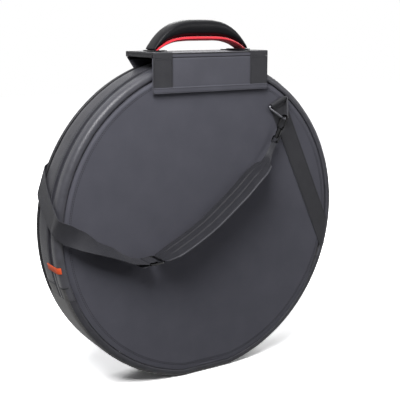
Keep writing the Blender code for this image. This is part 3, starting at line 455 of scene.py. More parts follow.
def smooth_line(points, steps):
    """A curve through the points, with a number of steps between each two."""
    ends = [2 * points[0] - points[1], *points, 2 * points[-1] - points[-2]]
    found = []
    for a, b, c, d in zip(ends, ends[1:], ends[2:], ends[3:]):
        before, here, after = [math.sqrt(gap.length) for gap in (b - a, c - b, d - c)]
        leave_way = here * ((b - a) / before - (c - a) / (before + here)) + (c - b)
        reach_way = here * ((d - c) / after - (d - b) / (here + after)) + (c - b)
        for i in range(steps):
            t = i / steps
            bulge = leave_way * t * (1 - t) ** 2 - reach_way * t**2 * (1 - t)
            found.append(b.lerp(c, t**2 * (3 - 2 * t)) + bulge)
    found.append(points[-1])
    return found


def between(values, steps):
    """Values at even steps between given ones."""
    found = []
    for low, high in zip(values, values[1:]):
        found += [low + (high - low) * (i / steps) for i in range(steps)]
    return [*found, values[-1]]


def ribbon(name, line, sides, widths, outline, material):
    """A strap along a line, with its outline's points as a share of the half width and a height.

    One side and one width hold for the whole line, or there is one for each place.
    """
    sides = [sides] * len(line) if isinstance(sides, Vector) else sides
    widths = [widths] * len(line) if isinstance(widths, float) else widths
    points = []
    faces = []
    marks = []
    length = 0.0
    ends = [line[0], *line, line[-1]]
    for i, (place, side, width) in enumerate(zip(line, sides, widths)):
        along = (ends[i + 2] - ends[i]).normalized()
        up = along.cross(side).normalized()
        length += (place - line[i - 1]).length if i else 0.0
        shape = outline(i / (len(line) - 1))
        for u, height in shape:
            points.append(place + side * (u * width / 2) + up * height)
            marks.append((u * width / 2, length))
    count = len(shape)
    rings = len(line)
    for i in range(rings - 1):
        for j in range(count):
            after = (j + 1) % count
            faces.append((i * count + j, i * count + after, (i + 1) * count + after, (i + 1) * count + j))
    faces.append(tuple(range(count)))
    faces.append(tuple(reversed(range((rings - 1) * count, rings * count))))
    mesh = bpy.data.meshes.new(name)
    mesh.from_pydata(points, [], faces)
    mesh.materials.append(material)
    layer = mesh.uv_layers.new(name="along_strap")
    for loop in mesh.loops:
        layer.data[loop.index].uv = marks[loop.vertex_index]
    piece = new_piece(name, mesh)
    edit()
    bpy.ops.mesh.normals_make_consistent(inside=False)
    leave()
    return piece


def webbing_outline(thickness):
    """Flat webbing with rounded selvedges and a faint hollow beside each."""
    width_shares = [-0.985, -0.94, -0.9, -0.6, -0.3, 0, 0.3, 0.6, 0.9, 0.94, 0.985]
    height_shares = [0.8, 1, 0.92, 1, 1, 1, 1, 1, 0.92, 1, 0.8]
    top = [(u, thickness / 2 * r) for u, r in zip(width_shares, height_shares)]
    shape = [(-1, 0)] + top + [(1, 0)] + [(u, -h) for u, h in reversed(top)]
    return lambda share: shape


def cord_outline(radius, sides):
    """A round cord, for a width of twice its radius."""
    turns = [rad(360 * k / sides) for k in range(sides)]
    shape = [(math.cos(t), radius * math.sin(t)) for t in turns]
    return lambda share: shape


def rounded_corners(points, radius, steps=5):
    """An open run through points, with each inner corner rounded."""
    found = [Vector(points[0])]
    for before, corner, after in zip(points, points[1:], points[2:]):
        back = (Vector(before) - Vector(corner)).normalized()
        ahead = (Vector(after) - Vector(corner)).normalized()
        half = back.angle(ahead) / 2
        room = radius / math.tan(half)
        middle = Vector(corner) + (back + ahead).normalized() * radius / math.sin(half)
        start = Vector(corner) + back * room - middle
        end = Vector(corner) + ahead * room - middle
        axis = start.cross(end).normalized()
        for k in range(steps + 1):
            found.append(middle + Matrix.Rotation(start.angle(end) * k / steps, 3, axis) @ start)
    found.append(Vector(points[-1]))
    return found


def taken(piece):
    """The points and faces of a small model, which is then removed."""
    data = [v.co.copy() for v in piece.data.vertices], [tuple(f.vertices) for f in piece.data.polygons]
    bpy.data.objects.remove(piece)
    return data


def repeated(name, model, spots, material):
    """One mesh of a small model put at each spot, a matrix."""
    points = []
    faces = []
    for place in spots:
        first = len(points)
        points += [place @ p for p in model[0]]
        faces += [tuple(first + i for i in face) for face in model[1]]
    mesh = bpy.data.meshes.new(name)
    mesh.from_pydata(points, [], faces)
    mesh.materials.append(material)
    return new_piece(name, mesh)


def spot(place, along, up):
    """A matrix at a place with X along and Z up."""
    x = along.normalized()
    y = up.cross(x).normalized()
    z = x.cross(y)
    return Matrix.Translation(place) @ Matrix((x, y, z)).transposed().to_4x4()


# Stitches
STITCH_LENGTH = 3.2 * mm
STITCH_R = 0.36 * mm
STITCH_DIP = 0.3 * mm
STITCH_PITCH = 4.2 * mm


def model_stitch():
    """One stitch: a thin bar with its two ends turned down into the cloth."""
    deselect()
    bpy.ops.mesh.primitive_cylinder_add(
        vertices=6, radius=STITCH_R, depth=STITCH_LENGTH, rotation=(0, rad(90), 0)
    )
    piece = just_added("stitch_model", THREAD)
    edit()
    bpy.ops.mesh.subdivide(number_cuts=1)
    leave()
    for vertex in piece.data.vertices:
        share = abs(vertex.co.x) / (STITCH_LENGTH / 2)
        vertex.co.z -= STITCH_DIP * share**2
        vertex.co.y *= 1 - 0.3 * share**2
    return taken(piece)


STITCH = model_stitch()


def seam(line, normals):
    """Spots for stitches at even steps along a line, with one normal for it all or one for each place."""
    spots = []
    lengths = [0.0]
    for a, b in zip(line, line[1:]):
        lengths.append(lengths[-1] + (b - a).length)
    count = max(1, int(lengths[-1] / STITCH_PITCH))
    i = 0
    for k in range(count):
        want = (k + 0.5) / count * lengths[-1]
        while lengths[i + 1] < want:
            i += 1
        share = (want - lengths[i]) / (lengths[i + 1] - lengths[i])
        up = normals if isinstance(normals, Vector) else normals[i]
        spots.append(spot(line[i].lerp(line[i + 1], share), line[i + 1] - line[i], up))
    return spots


def boxed_seam(corners, up):
    """Spots for stitches from corner to corner and back to the first."""
    spots = []
    for a, b in zip(corners, [*corners[1:], corners[0]]):
        spots += seam([a, b], up)
    return spots


def stitched(name, body, spots):
    return settle(repeated(name, STITCH, spots, THREAD), body)


def arc(depth, y, radius, low, high, steps):
    """Points of depth and Y on a round edge; 0 degrees faces out of the rim and 90 towards the face."""
    turns = [rad(low + (high - low) * i / steps) for i in range(steps + 1)]
    return [(depth - radius * math.cos(t), y + radius * math.sin(t)) for t in turns]


def mirrored(outline):
    """The same outline at the front, where Y is negative."""
    return [(depth, -y) for depth, y in outline]


# Face panels

FRONT_EDGE = [(15.2, 38.2), (15.2, 41.6), (16.2, 42.6), (17.8, 43.4), (19.2, 44.4), (20.8, 45.4)]
FRONT_EDGE += [(22.6, 45.9), (24.4, 45.85), (26.0, 45.95), (30.0, 46.0)]
REAR_EDGE = [(7.6, 38.2), (7.6, 42.0), (8.4, 43.9), (10.0, 45.2), (13.0, 46.0), (15.0, 45.7)]
REAR_EDGE += [(16.0, 44.9), (17.0, 45.0), (18.6, 45.7), (22.0, 45.95)]
FACE_RINGS = [36 + 8 * i for i in range(34)]
FACE_POLE = 310
FACE_BACK = 38.2
FACE_FRONT = 46
FACE_CROWN = 0.35
FACE_BLEND = (Vector((0, -HALF, FOLD_Z - 30 * mm)), Vector((0, -HALF, FOLD_Z + 30 * mm)))
FACE_LUMPS = (0.5 * mm, 70 * mm)
FACE_WALL = 7.5 * mm
# Below the fold the edge of the front is filled out, over this height
EASE_HEIGHT = 45 * mm
EASE_SHARE = 0.85
EASE_FROM_Y = -41 * mm
EASE_TO_Y = -45.6 * mm
EASE_DEPTH = 22.7 * mm
FRONT_SEAMS = [(25.0 * mm, -46.0 * mm), (27.6 * mm, -46.1 * mm)]
REAR_SEAMS = [(19.6 * mm, 45.9 * mm), (21.8 * mm, 46.1 * mm)]


def face_outline(edge):
    """From the pole on the back, out over the edge and in to the pole on the face."""
    span = 2 * (FACE_POLE - FACE_RINGS[0])
    crown = []
    for depth in FACE_RINGS:
        crown.append((depth, FACE_FRONT + FACE_CROWN * math.sin(math.pi * (depth - FACE_RINGS[0]) / span)))
    back = [(depth, FACE_BACK) for depth in reversed(FACE_RINGS)]
    return [(FACE_POLE, FACE_BACK)] + back + edge + crown + [(FACE_POLE, FACE_FRONT + FACE_CROWN)]


def inward(centre, normal):
    """True on the faces that look into the bag."""
    return abs(centre.y) < HALF - FACE_WALL and abs(normal.y) > 0.8


def make_faces():
    front_body = ("bag", "lid", *FACE_BLEND)
    front = spun("front_face", mirrored(face_outline(FRONT_EDGE)), CANVAS)
    for vertex in front.data.vertices:
        x, y, z = vertex.co
        low = min(1, max(0, (FOLD_Z - z) / EASE_HEIGHT))
        reach = math.hypot(x, z - CENTRE_Z)
        if y < EASE_FROM_Y and reach > RADIUS - EASE_DEPTH:
            vertex.co.y += EASE_SHARE * low * (EASE_TO_Y - y)
    rear = spun("rear_face", face_outline(REAR_EDGE), CANVAS)
    panels = ((front, front_body, ("front_panel", "lower_front_panel")), (rear, "bag", ("rear_panel",)))
    for piece, body, nodes in panels:
        soften(piece, *FACE_LUMPS)
        lined(piece, LINING, inward)
        settle(piece, body, nodes)

    rows = (("front", front_body, FRONT_SEAMS, FORWARD), ("rear", "bag", REAR_SEAMS, REARWARD))
    for label, body, rings, out in rows:
        spots = []
        for depth, y in rings:
            spots += seam([around(angle, depth, y) for angle in range(0, 361, 2)], out)
        stitches = repeated(label + "_face_stitches", STITCH, spots, THREAD)
        stand(stitches)
        settle(stitches, body)


# Rim

ROLL_ROUND = arc(10.8, 35.4, 10.9, 0, 90, 8)
ROLL_IN = [(12.6, 45.9), (13.8, 45.0), (14.5, 43.4), (14.7, 41), (14.7, 38.4)]
FRONT_ROLL = [(7, 38.4), (7, 31), (7, 24), (1.4, 24), (0.5, 24.5), (0, 25.7), (-0.4, 28.5), (-0.4, 32)]
LOWER_ROLL = [(7, 38.4), (7, 35.5), (0.4, 35.5)]
REAR_WALL = [(7, -12), (1.4, -12), (0.5, -11.5), (0, -10.4), (-0.4, -6), (-0.5, 0), (-0.6, 6), (-0.6, 12)]
REAR_WALL += [(-0.6, 18), (-0.4, 23), (0.2, 28), (1.1, 32), (2.3, 35.4), (3.8, 38.2), (5.0, 39.7)]
REAR_WALL += [(7, 39.7), (7, 26), (7, 13), (7, 0)]
BASE_WALL = [(7, -35), (1.0, -35), (0.2, -34.4), (-0.3, -32), (-0.4, -24), (-0.4, -16), (-0.4, -8), (-0.4, 0)]
BASE_WALL += [(-0.4, 8), (-0.4, 16), (-0.4, 24), (-0.4, 32), (-0.1, 37.6), (0.5, 39.2), (1.4, 39.7)]
BASE_WALL += [(7, 39.7), (7, 20), (7, 0), (7, -18)]
GORE = [(7, -23.6), (0.8, -23.6), (0.2, -23), (-0.1, -20), (-0.1, -16), (0.2, -13), (0.8, -12.4), (7, -12.4)]
ROLL_LUMPS = (0.9 * mm, 26 * mm)
LOWER_ROLL_LUMPS = (0.7 * mm, 26 * mm)
WALL_LUMPS = (0.9 * mm, 30 * mm)
BASE_LUMPS = (0.5 * mm, 30 * mm)
FOLD_TURN = 116
FOLD_LAP = 12
BASE_SEAM = 106
BASE_FRONT_Y = -43 * mm
RIDGE_RISE = 0.8
RIDGE_TURN = 0.25
ROLL_RIDGE_END = [(12.2, 45.4), (5, 38)]
WALL_RIDGE_END = [(5, 39)]
BEAD_DEPTH = -0.1
BEAD_R = 0.95
BEAD_YS = (("front", "lid", -24.7), ("rear", "bag", -11.3))
REAR_PIPING = arc(3, 43, 3, 15, 345, 11)
WALL_SEAMS = [(-7.4 * mm, -0.4 * mm), (29.4 * mm, 0.45 * mm)]


def below_seam(centre, normal):
    """True past the base seam of a rim piece, where the hard-wearing base cloth begins."""
    over = centre.z - CENTRE_Z
    return centre.y > BASE_FRONT_Y and over / math.hypot(centre.x, over) < math.cos(rad(BASE_SEAM))


def make_rim():
    above = [(FOLD_Z + GAP, True)]
    below = [(FOLD_Z - GAP, False)]
    low_turns = (FOLD_TURN - FOLD_LAP, 360 + FOLD_LAP - FOLD_TURN)
    outline = mirrored(FRONT_ROLL + ROLL_ROUND + ROLL_IN)
    roll = spun("front_roll", outline, RIM_CANVAS, -FOLD_TURN, FOLD_TURN, above)
    soften(roll, *ROLL_LUMPS)
    lined(roll, BASE_VINYL, below_seam)
    settle(roll, "lid", ("front_gusset", "front_piping"))

    outline = mirrored(LOWER_ROLL + ROLL_ROUND[1:] + ROLL_IN)
    low_roll = spun("lower_front_roll", outline, REAR_CANVAS, *low_turns, below)
    soften(low_roll, *LOWER_ROLL_LUMPS)
    lined(low_roll, BASE_VINYL, lambda centre, normal: centre.y > BASE_FRONT_Y)
    settle(low_roll, "bag", ("lower_front_piping",))

    wall = spun("rear_wall", REAR_WALL, REAR_CANVAS, -FOLD_TURN, FOLD_TURN, above)
    soften(wall, *WALL_LUMPS)
    lined(wall, BASE_VINYL, below_seam)
    settle(wall, "bag", ("rear_gusset",))
    base = spun("base_wall", BASE_WALL, BASE_VINYL, *low_turns, below)
    soften(base, *BASE_LUMPS)
    settle(base, "bag", ("bottom_gusset",))

    over_roll = [(depth - RIDGE_RISE, y) for depth, y in FRONT_ROLL[2:] + ROLL_ROUND] + ROLL_RIDGE_END
    over_wall = [(depth - RIDGE_RISE, y) for depth, y in REAR_WALL[1:15]] + WALL_RIDGE_END
    for label, body, outline in (("front", "lid", mirrored(over_roll)), ("rear", "bag", over_wall)):
        for side, middle in (("left", -BASE_SEAM), ("right", BASE_SEAM)):
            turns = (middle - RIDGE_TURN, middle + RIDGE_TURN)
            ridge = spun(f"{side}_{label}_base_seam", outline, PIPING_VINYL, *turns)
            settle(ridge, body)

    for name, sign in (("right_gore", 1), ("left_gore", -1)):
        ends = sorted((sign * (ZIP_END + 0.1), sign * FOLD_TURN))
        made = spun(name + "_cloth", GORE, RIM_CANVAS, *ends, above)
        settle(made, "bag", (name,))

    # The zip beads are in the paler bead vinyl, a painted highlight beside the zip
    for label, body, y in BEAD_YS:
        outline = arc(BEAD_DEPTH, y, BEAD_R, 36, 360, 9)
        settle(spun(label + "_zip_bead", outline, BEAD_VINYL, -FOLD_TURN, FOLD_TURN, above), body)

    settle(spun("rear_rim_piping", REAR_PIPING, PIPING_VINYL), "bag", ("rear_piping",))
    spots = []
    for y, depth in WALL_SEAMS:
        ring = [around(angle, depth, y) for angle in range(-BASE_SEAM, BASE_SEAM + 1, 2)]
        spots += seam(ring, [(p - CENTRE) for p in ring])
    stitched("rear_wall_stitches", "bag", spots)


# Padded dividers inside

DIVIDER_SIDES = 120
DIVIDER_EDGE = 0.9 * mm
DIVIDER_RINGS = [4 * mm] * 3 + [60 * mm] * 3
DIVIDER_LUMPS = (0.35 * mm, 40 * mm)
BINDING_IN = 1.2 * mm
BINDING_R = 2.6 * mm


def make_dividers():
    for name, y in zip(("front_divider", "rear_divider"), DIVIDER_YS):
        middle = (0, y, DIVIDER_Z)
        deselect()
        bpy.ops.mesh.primitive_cylinder_add(
            vertices=DIVIDER_SIDES, radius=DIVIDER_R, depth=DIVIDER_T, location=middle,
            rotation=(rad(90), 0, 0),
        )
        piece = just_added(name + "_felt", LINING)
        edit("DESELECT")
        bpy.ops.mesh.select_mode(type="FACE")
        leave()
        for face in piece.data.polygons:
            face.select = abs(face.normal.y) > 0.9
        bpy.ops.object.mode_set(mode="EDIT")
        for width in DIVIDER_RINGS:
            bpy.ops.mesh.inset(thickness=width, use_boundary=True)
        leave()
        round_edges(piece, DIVIDER_EDGE, 3, 60)
        soften(piece, *DIVIDER_LUMPS)
        settle(piece, "bag", (name,))
        deselect()
        bpy.ops.mesh.primitive_torus_add(
            major_radius=DIVIDER_R - BINDING_IN, minor_radius=BINDING_R, location=middle,
            major_segments=DIVIDER_SIDES, minor_segments=10, rotation=(rad(90), 0, 0),
        )
        binding = just_added(name + "_binding", WEBBING)
        edit()
        bpy.ops.transform.resize(value=(1, 0.8, 1), center_override=middle)
        leave()
        settle(binding, "bag")


# Zip

TOOTH = (1.0 * mm, 3.4 * mm, 1.1 * mm)
TOOTH_EDGE = 0.3 * mm
TOOTH_PITCH = 1.6 * mm
TOOTH_DEPTH = 6.4 * mm
TOOTH_OFF = 1.55 * mm
TWILL = [(7.4, 18.04), (7.3, 19.2), (7.3, 22), (7.3, 31), (8.2, 31), (8.7, 24), (8.7, 18.04)]
REAR_TWILL_SHIFT = 36
TAB_OVER = [(-1.9, -1.8), (-1.9, 8), (-1.9, 17), (-1.9, 26), (-1.9, 35.4)]
TAB_BEND = arc(10.8, 35.4, 12.6, 12, 60, 5) + arc(10.8, 35.4, 11.5, 60, 12, 5)
TAB_UNDER = [(-0.7, 35.4), (-0.7, 17), (-0.7, -1.8)]
TAB_TURN = 1.05
TAB_EDGE = 0.3 * mm


def model_tooth():
    """One turn of the zip's coil, seen as a small rounded block."""
    deselect()
    bpy.ops.mesh.primitive_cube_add(size=1, scale=TOOTH)
    piece = just_added("tooth_model", ZIP_NYLON)
    edit()
    bpy.ops.mesh.bevel(offset=TOOTH_EDGE, segments=1, affect="EDGES")
    leave()
    return taken(piece)


def make_zip():
    tooth = model_tooth()
    pitch = math.degrees(TOOTH_PITCH / (RADIUS - TOOTH_DEPTH))
    rear_twill = [(depth, y - REAR_TWILL_SHIFT) for depth, y in TWILL]
    rows = (("front", "lid", mirrored(TWILL), -1), ("rear", "bag", rear_twill, 1))
    for name, body, outline, side in rows:
        tape = spun(name + "_zip_twill", outline, ZIP_TWILL, -ZIP_END, ZIP_END)
        settle(tape, body, (name + "_zip_tape",))
        spots = []
        # The two sides' turns lie half a pitch apart, so that they mesh
        for i in range(int(2 * ZIP_END / pitch)):
            angle = -ZIP_END + (i + (0.25 if side > 0 else 0.75)) * pitch
            out = (around(angle, 0, 0) - CENTRE).normalized()
            place = around(angle, TOOTH_DEPTH, ZIP_Y + side * TOOTH_OFF)
            spots.append(spot(place, REARWARD.cross(out), out))
        teeth = repeated(name + "_zip_teeth", tooth, spots, ZIP_NYLON)
        settle(teeth, body, (name + "_zip_coil",), angle=50)

    short = TAB_OVER + TAB_UNDER
    bent = TAB_OVER + TAB_BEND + TAB_UNDER
    for name, middle, outline in (("right", ZIP_END, short), ("left", -ZIP_END, bent)):
        turns = (middle - TAB_TURN, middle + TAB_TURN)
        tab = spun(name + "_zip_tab_ribbon", mirrored(outline), TAB_RIBBON, *turns)
        round_edges(tab, TAB_EDGE, 2, 50)
        settle(tab, "bag", (name + "_zip_tab",))


# Saddle

PLATE_EDGE = 1.6 * mm
EDGING_R = 1.0 * mm
EDGING_IN = (0.4 * mm, 0.2 * mm, 0.5 * mm)
EDGING_CORNER = 2 * mm
FLAP_CLOTH_T = 2.4 * mm
FLAP_EDGE = 0.6 * mm
FLAP_WAVES = ((0.35 * mm, 5.1, 0), (0.25 * mm, 11.3, 1))
HEM_RISE = 11 * mm
HEM_PROUD = 0.5 * mm
HEM_EDGE = 1.1 * mm
HEM_END = 0.4 * mm
HEM_BACK = 0.2 * mm
HEM_SEAMS = (2.6 * mm, HEM_RISE - 2.2 * mm)
FACING_IN = 0.9 * mm
FACING_END = 2 * mm
FACING_Z = 614.5 * mm
FACING_W = 6 * mm
FACING_T = 1.2 * mm
BAND_CORNER = 1.4 * mm
BAND_FOOT = 0.2 * mm
BAND_SEAM_IN = 2.6 * mm
BAND_SEAM_END = 3 * mm
SHORT_RUN = 6 * mm


def padded_block(name, low, high, material, edge, cuts):
    """A cloth-covered board between two corners, with rounded edges."""
    deselect()
    middle = (Vector(low) + Vector(high)) / 2
    bpy.ops.mesh.primitive_cube_add(size=1, location=middle, scale=Vector(high) - Vector(low))
    piece = just_added(name, material)
    edit()
    bpy.ops.mesh.bevel(offset=edge, segments=3, affect="EDGES")
    bpy.ops.mesh.select_all(action="SELECT")
    bpy.ops.mesh.subdivide(number_cuts=cuts)
    leave()
    return piece


def hung_flap(name, sign, taper):
    """A flap hanging from the saddle, stiff cloth with a slight wave towards its lower edge."""
    deselect()
    height = FLAP_TOP - FLAP_FOOT
    middle = (SADDLE_X, sign * (SADDLE_HALF_Y - FLAP_T / 2), FLAP_FOOT + height / 2)
    bpy.ops.mesh.primitive_grid_add(
        x_subdivisions=60, y_subdivisions=16, size=1, location=middle, rotation=(rad(90), 0, 0)
    )
    piece = just_added(name, SADDLE_CANVAS)
    for vertex in piece.data.vertices:
        u = (vertex.co.x - SADDLE_X) * 2
        v = (vertex.co.z - middle[2]) + 0.5
        half = SADDLE_HALF - taper * (1 - v)
        out = sum((1 - v) * swing * math.sin(u * turns + start) for swing, turns, start in FLAP_WAVES)
        vertex.co = (SADDLE_X + u * half, middle[1] + sign * out, FLAP_FOOT + v * height)
    apply_modifier(piece, "SOLIDIFY", thickness=FLAP_CLOTH_T, offset=0)
    round_edges(piece, FLAP_EDGE, 2, 60)
    return piece


def flat_band(name, points, width, thickness, material, side, steps):
    """Webbing along straight runs and round corners."""
    line = []
    for a, b in zip(points, points[1:]):
        run = [Vector(a).lerp(Vector(b), i / steps) for i in range(steps)]
        line += run if (Vector(b) - Vector(a)).length > SHORT_RUN else run[:1]
    line.append(Vector(points[-1]))
    return ribbon(name, line, side, width, webbing_outline(thickness), material)


def copied(name, node, material):
    """A new piece from a CAD node's own shape, with its loose triangles merged."""
    mesh = frame["nodes"][node].data.copy()
    mesh.materials.clear()
    mesh.materials.append(material)
    piece = new_piece(name, mesh)
    edit()
    bpy.ops.mesh.remove_doubles(threshold=MERGE)
    bpy.ops.mesh.tris_convert_to_quads()
    leave()
    return piece


def make_saddle():
    low = (SADDLE_X - SADDLE_HALF, -SADDLE_HALF_Y, SADDLE_Z)
    high = (SADDLE_X + SADDLE_HALF, SADDLE_HALF_Y, SADDLE_TOP)
    plate = padded_block("saddle_top", low, high, SADDLE_CANVAS, PLATE_EDGE, 10)
    lined(plate, LINING, lambda centre, normal: abs(normal.x) > 0.5 or normal.z < -0.5)
    settle(plate, "bag", ("saddle_plate",))
    x, y, z = [edge - inset for edge, inset in zip((SADDLE_HALF, SADDLE_HALF_Y, SADDLE_TOP), EDGING_IN)]
    corners = [(0, -y, z), (x, -y, z), (x, y, z), (-x, y, z), (-x, -y, z), (0, -y, z)]
    line = [point + RIGHT * SADDLE_X for point in rounded_corners(corners, EDGING_CORNER)]
    edging = ribbon("saddle_edging", line, UP, 2 * EDGING_R, cord_outline(EDGING_R, 8), PIPING_VINYL)
    settle(edging, "bag")

    for name, sign, taper, body in (("front_flap", -1, 0, "lid"), ("rear_flap", 1, REAR_FLAP_TAPER, "bag")):
        flap = hung_flap(name + "_cloth", sign, taper)
        settle(flap, body, (name,))
        face = SADDLE_HALF_Y + HEM_PROUD + (GAP + BAND_T if sign < 0 else 0)
        back = SADDLE_HALF_Y - FLAP_T - HEM_BACK
        left = SADDLE_X - SADDLE_HALF + taper + HEM_END
        right = SADDLE_X + SADDLE_HALF - taper - HEM_END
        near, far = sorted((sign * face, sign * back))
        low = (left, near, FLAP_FOOT - HEM_BACK)
        high = (right, far, FLAP_FOOT + HEM_RISE)
        hem = padded_block(name + "_binding", low, high, SADDLE_CANVAS, HEM_EDGE, 6)
        settle(hem, body)
        spots = []
        for rise in HEM_SEAMS:
            ends = [Vector((x, sign * face, FLAP_FOOT + rise)) for x in (left, right)]
            spots += seam(ends, REARWARD * sign)
        stitches = stitched(name + "_stitches", body, spots)

    inner = SADDLE_HALF_Y - FLAP_T - FACING_IN
    reach = SADDLE_HALF - FACING_END
    for label, sign in (("front", -1), ("rear", 1)):
        ends = [(SADDLE_X - reach, sign * inner, FACING_Z), (SADDLE_X + reach, sign * inner, FACING_Z)]
        facing = flat_band(label + "_saddle_facing", ends, FACING_W, FACING_T, LINING, UP, 20)
        settle(facing, "bag")

    for name in ("front_flap_seam", "rear_flap_seam"):
        settle(copied(name + "_tape", name, LINING), frame["nodes"][name]["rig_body"], (name,))

    face = SADDLE_HALF_Y + GAP + BAND_T / 2
    top = SADDLE_TOP + GAP + BAND_T / 2
    foot = FLAP_FOOT + BAND_FOOT
    offset = SADDLE_HALF - BAND_W / 2
    for side, middle in (("left", SADDLE_X - offset), ("right", SADDLE_X + offset)):
        turns = ((-face, SADDLE_Z), (-face, top), (face, top), (face, SADDLE_Z))
        over = rounded_corners([(middle, y, z) for y, z in turns], BAND_CORNER)
        band = flat_band(side + "_saddle_webbing", over, BAND_W, BAND_T, WEBBING, RIGHT, 14)
        settle(band, "bag", (side + "_saddle_band",))
        down = [(middle, -face, foot), (middle, -face, FLAP_TOP)]
        band = flat_band(side + "_flap_webbing", down, BAND_W, BAND_T, WEBBING, RIGHT, 20)
        settle(band, "lid", (side + "_flap_band",))
        left, right = middle - BAND_W / 2 + BAND_SEAM_IN, middle + BAND_W / 2 - BAND_SEAM_IN
        low, high = foot + BAND_SEAM_END, FLAP_TOP - BAND_SEAM_END
        out = -(face + BAND_T / 2)
        corners = ((left, low), (right, low), (right, high), (left, high))
        corners = [Vector((x, out, z)) for x, z in corners]
        stitched(side + "_flap_webbing_stitches", "lid", boxed_seam(corners, FORWARD))


# Handle

HANDLE_Z = 626.9 * mm
HANDLE_OUTER_RISE = 57 * mm
HANDLE_OUTER_HALF = 106 * mm
HANDLE_OUTER_POWER = 1.65
HANDLE_INNER_RISE = 27 * mm
HANDLE_INNER_HALF = 103 * mm
HANDLE_INNER_POWER = 2
HANDLE_STEPS = 80
GRIP_REACH = 103 * mm
GRIP_W = 41 * mm
GRIP_VOXEL = 3.5 * mm
GRIP_PUFF = 1.2 * mm
GRIP_SQUARE_SHARES = (0.6, 0.85)
PUFF_PRESSURE = 4.0
PUFF_FRAMES = 20
LINING_REACH = 99 * mm
LINING_W = 35 * mm
LINING_T = 8.4 * mm
LINING_THIN_SHARE = 0.45
LINING_LUMPS = (0.6 * mm, 14 * mm)
PATCH_NEAR = 78 * mm
PATCH_FAR = 106.5 * mm
PATCH_T = 2.4 * mm
PATCH_EDGE = 0.9 * mm
PATCH_SEAM_IN = 2.4 * mm


def puffed(piece, voxel, cap):
    """Blows a padded piece up under a little pressure, as foam fills its cover."""
    apply_modifier(piece, "REMESH", mode="VOXEL", voxel_size=voxel)
    start = [v.co.copy() for v in piece.data.vertices]
    cloth = piece.modifiers.new("cloth", "CLOTH")
    cloth.settings.use_pressure = True
    cloth.settings.uniform_pressure_force = PUFF_PRESSURE
    cloth.settings.effector_weights.gravity = 0
    cloth.settings.quality = 4
    cloth.point_cache.frame_start = 1
    cloth.point_cache.frame_end = PUFF_FRAMES
    for number in range(1, PUFF_FRAMES + 1):
        bpy.context.scene.frame_set(number)
    active(piece)
    bpy.ops.object.modifier_apply(modifier=cloth.name)
    for vertex, first in zip(piece.data.vertices, start):
        moved = vertex.co - first
        if moved.length > cap:
            vertex.co = first + moved.normalized() * cap
    bpy.context.scene.frame_set(1)
    apply_modifier(piece, "SMOOTH", factor=0.5, iterations=3)
    apply_modifier(piece, "SUBSURF", levels=1, render_levels=1)


def handle_outer(x):
    reach = min(1, abs(x) / HANDLE_OUTER_HALF)
    return HANDLE_OUTER_RISE * math.cos(math.pi / 2 * reach**HANDLE_OUTER_POWER)


def handle_inner(x):
    reach = min(1, abs(x) / HANDLE_INNER_HALF)
    return HANDLE_INNER_RISE * math.cos(math.pi / 2 * reach**HANDLE_INNER_POWER)


def grip_outline(share):
    """The handle's section, a fat oval that thins to a tab at the two ends."""
    x = GRIP_REACH * (2 * share - 1)
    half = (handle_outer(x) - handle_inner(x)) / 2
    wide, high = GRIP_SQUARE_SHARES
    turns = [rad(15 * k) for k in range(24)]
    rounds = [(math.copysign(abs(math.cos(t)) ** wide, math.cos(t)), math.sin(t)) for t in turns]
    return [(u, half * math.copysign(abs(h) ** high, h)) for u, h in rounds]


def lining_half(share):
    """Half the lining's thickness, less towards its two ends."""
    return LINING_T / 2 * (1 - LINING_THIN_SHARE * abs(2 * share - 1) ** 3)


def lining_outline(share):
    """A soft flat pad, rounded at its two long edges."""
    wide = [-1 + i / 8 for i in range(17)]
    top = [(u, lining_half(share) * (1 - abs(u) ** 4) ** 0.5) for u in wide]
    return top + [(u, -h) for u, h in top[-2:0:-1]]


def make_handle():
    shares = [i / HANDLE_STEPS for i in range(HANDLE_STEPS + 1)]
    line = []
    for x in [GRIP_REACH * (2 * share - 1) for share in shares]:
        line.append(Vector((SADDLE_X + x, 0, HANDLE_Z + (handle_outer(x) + handle_inner(x)) / 2)))
    grip = ribbon("handle_grip_skin", line, REARWARD, GRIP_W, grip_outline, GRIP_SKIN)
    puffed(grip, GRIP_VOXEL, GRIP_PUFF)
    settle(grip, "bag", ("handle_grip",))

    line = []
    for share in shares:
        x = LINING_REACH * (2 * share - 1)
        line.append(Vector((SADDLE_X + x, 0, HANDLE_Z + handle_inner(x) - (lining_half(share) + GAP))))
    lining = ribbon("handle_lining_cloth", line, REARWARD, LINING_W, lining_outline, CRIMSON)
    soften(lining, *LINING_LUMPS)
    settle(lining, "bag", ("handle_lining",))

    top = HANDLE_Z + PATCH_T
    half = GRIP_W / 2
    reach = half - PATCH_SEAM_IN
    for side, sign in (("left", -1), ("right", 1)):
        near, far = sorted((SADDLE_X + sign * PATCH_NEAR, SADDLE_X + sign * PATCH_FAR))
        low = (near, -half, HANDLE_Z + GAP)
        patch = padded_block(side + "_handle_patch", low, (far, half, top), GRIP_SKIN, PATCH_EDGE, 5)
        settle(patch, "bag", (side + "_handle_foot",))
        near, far = near + PATCH_SEAM_IN, far - PATCH_SEAM_IN
        corners = ((near, -reach), (far, -reach), (far, reach), (near, reach))
        corners = [Vector((x, y, top)) for x, y in corners]
        stitched(side + "_patch_stitches", "bag", boxed_seam(corners, UP))


# Webbing tape and loop on each face

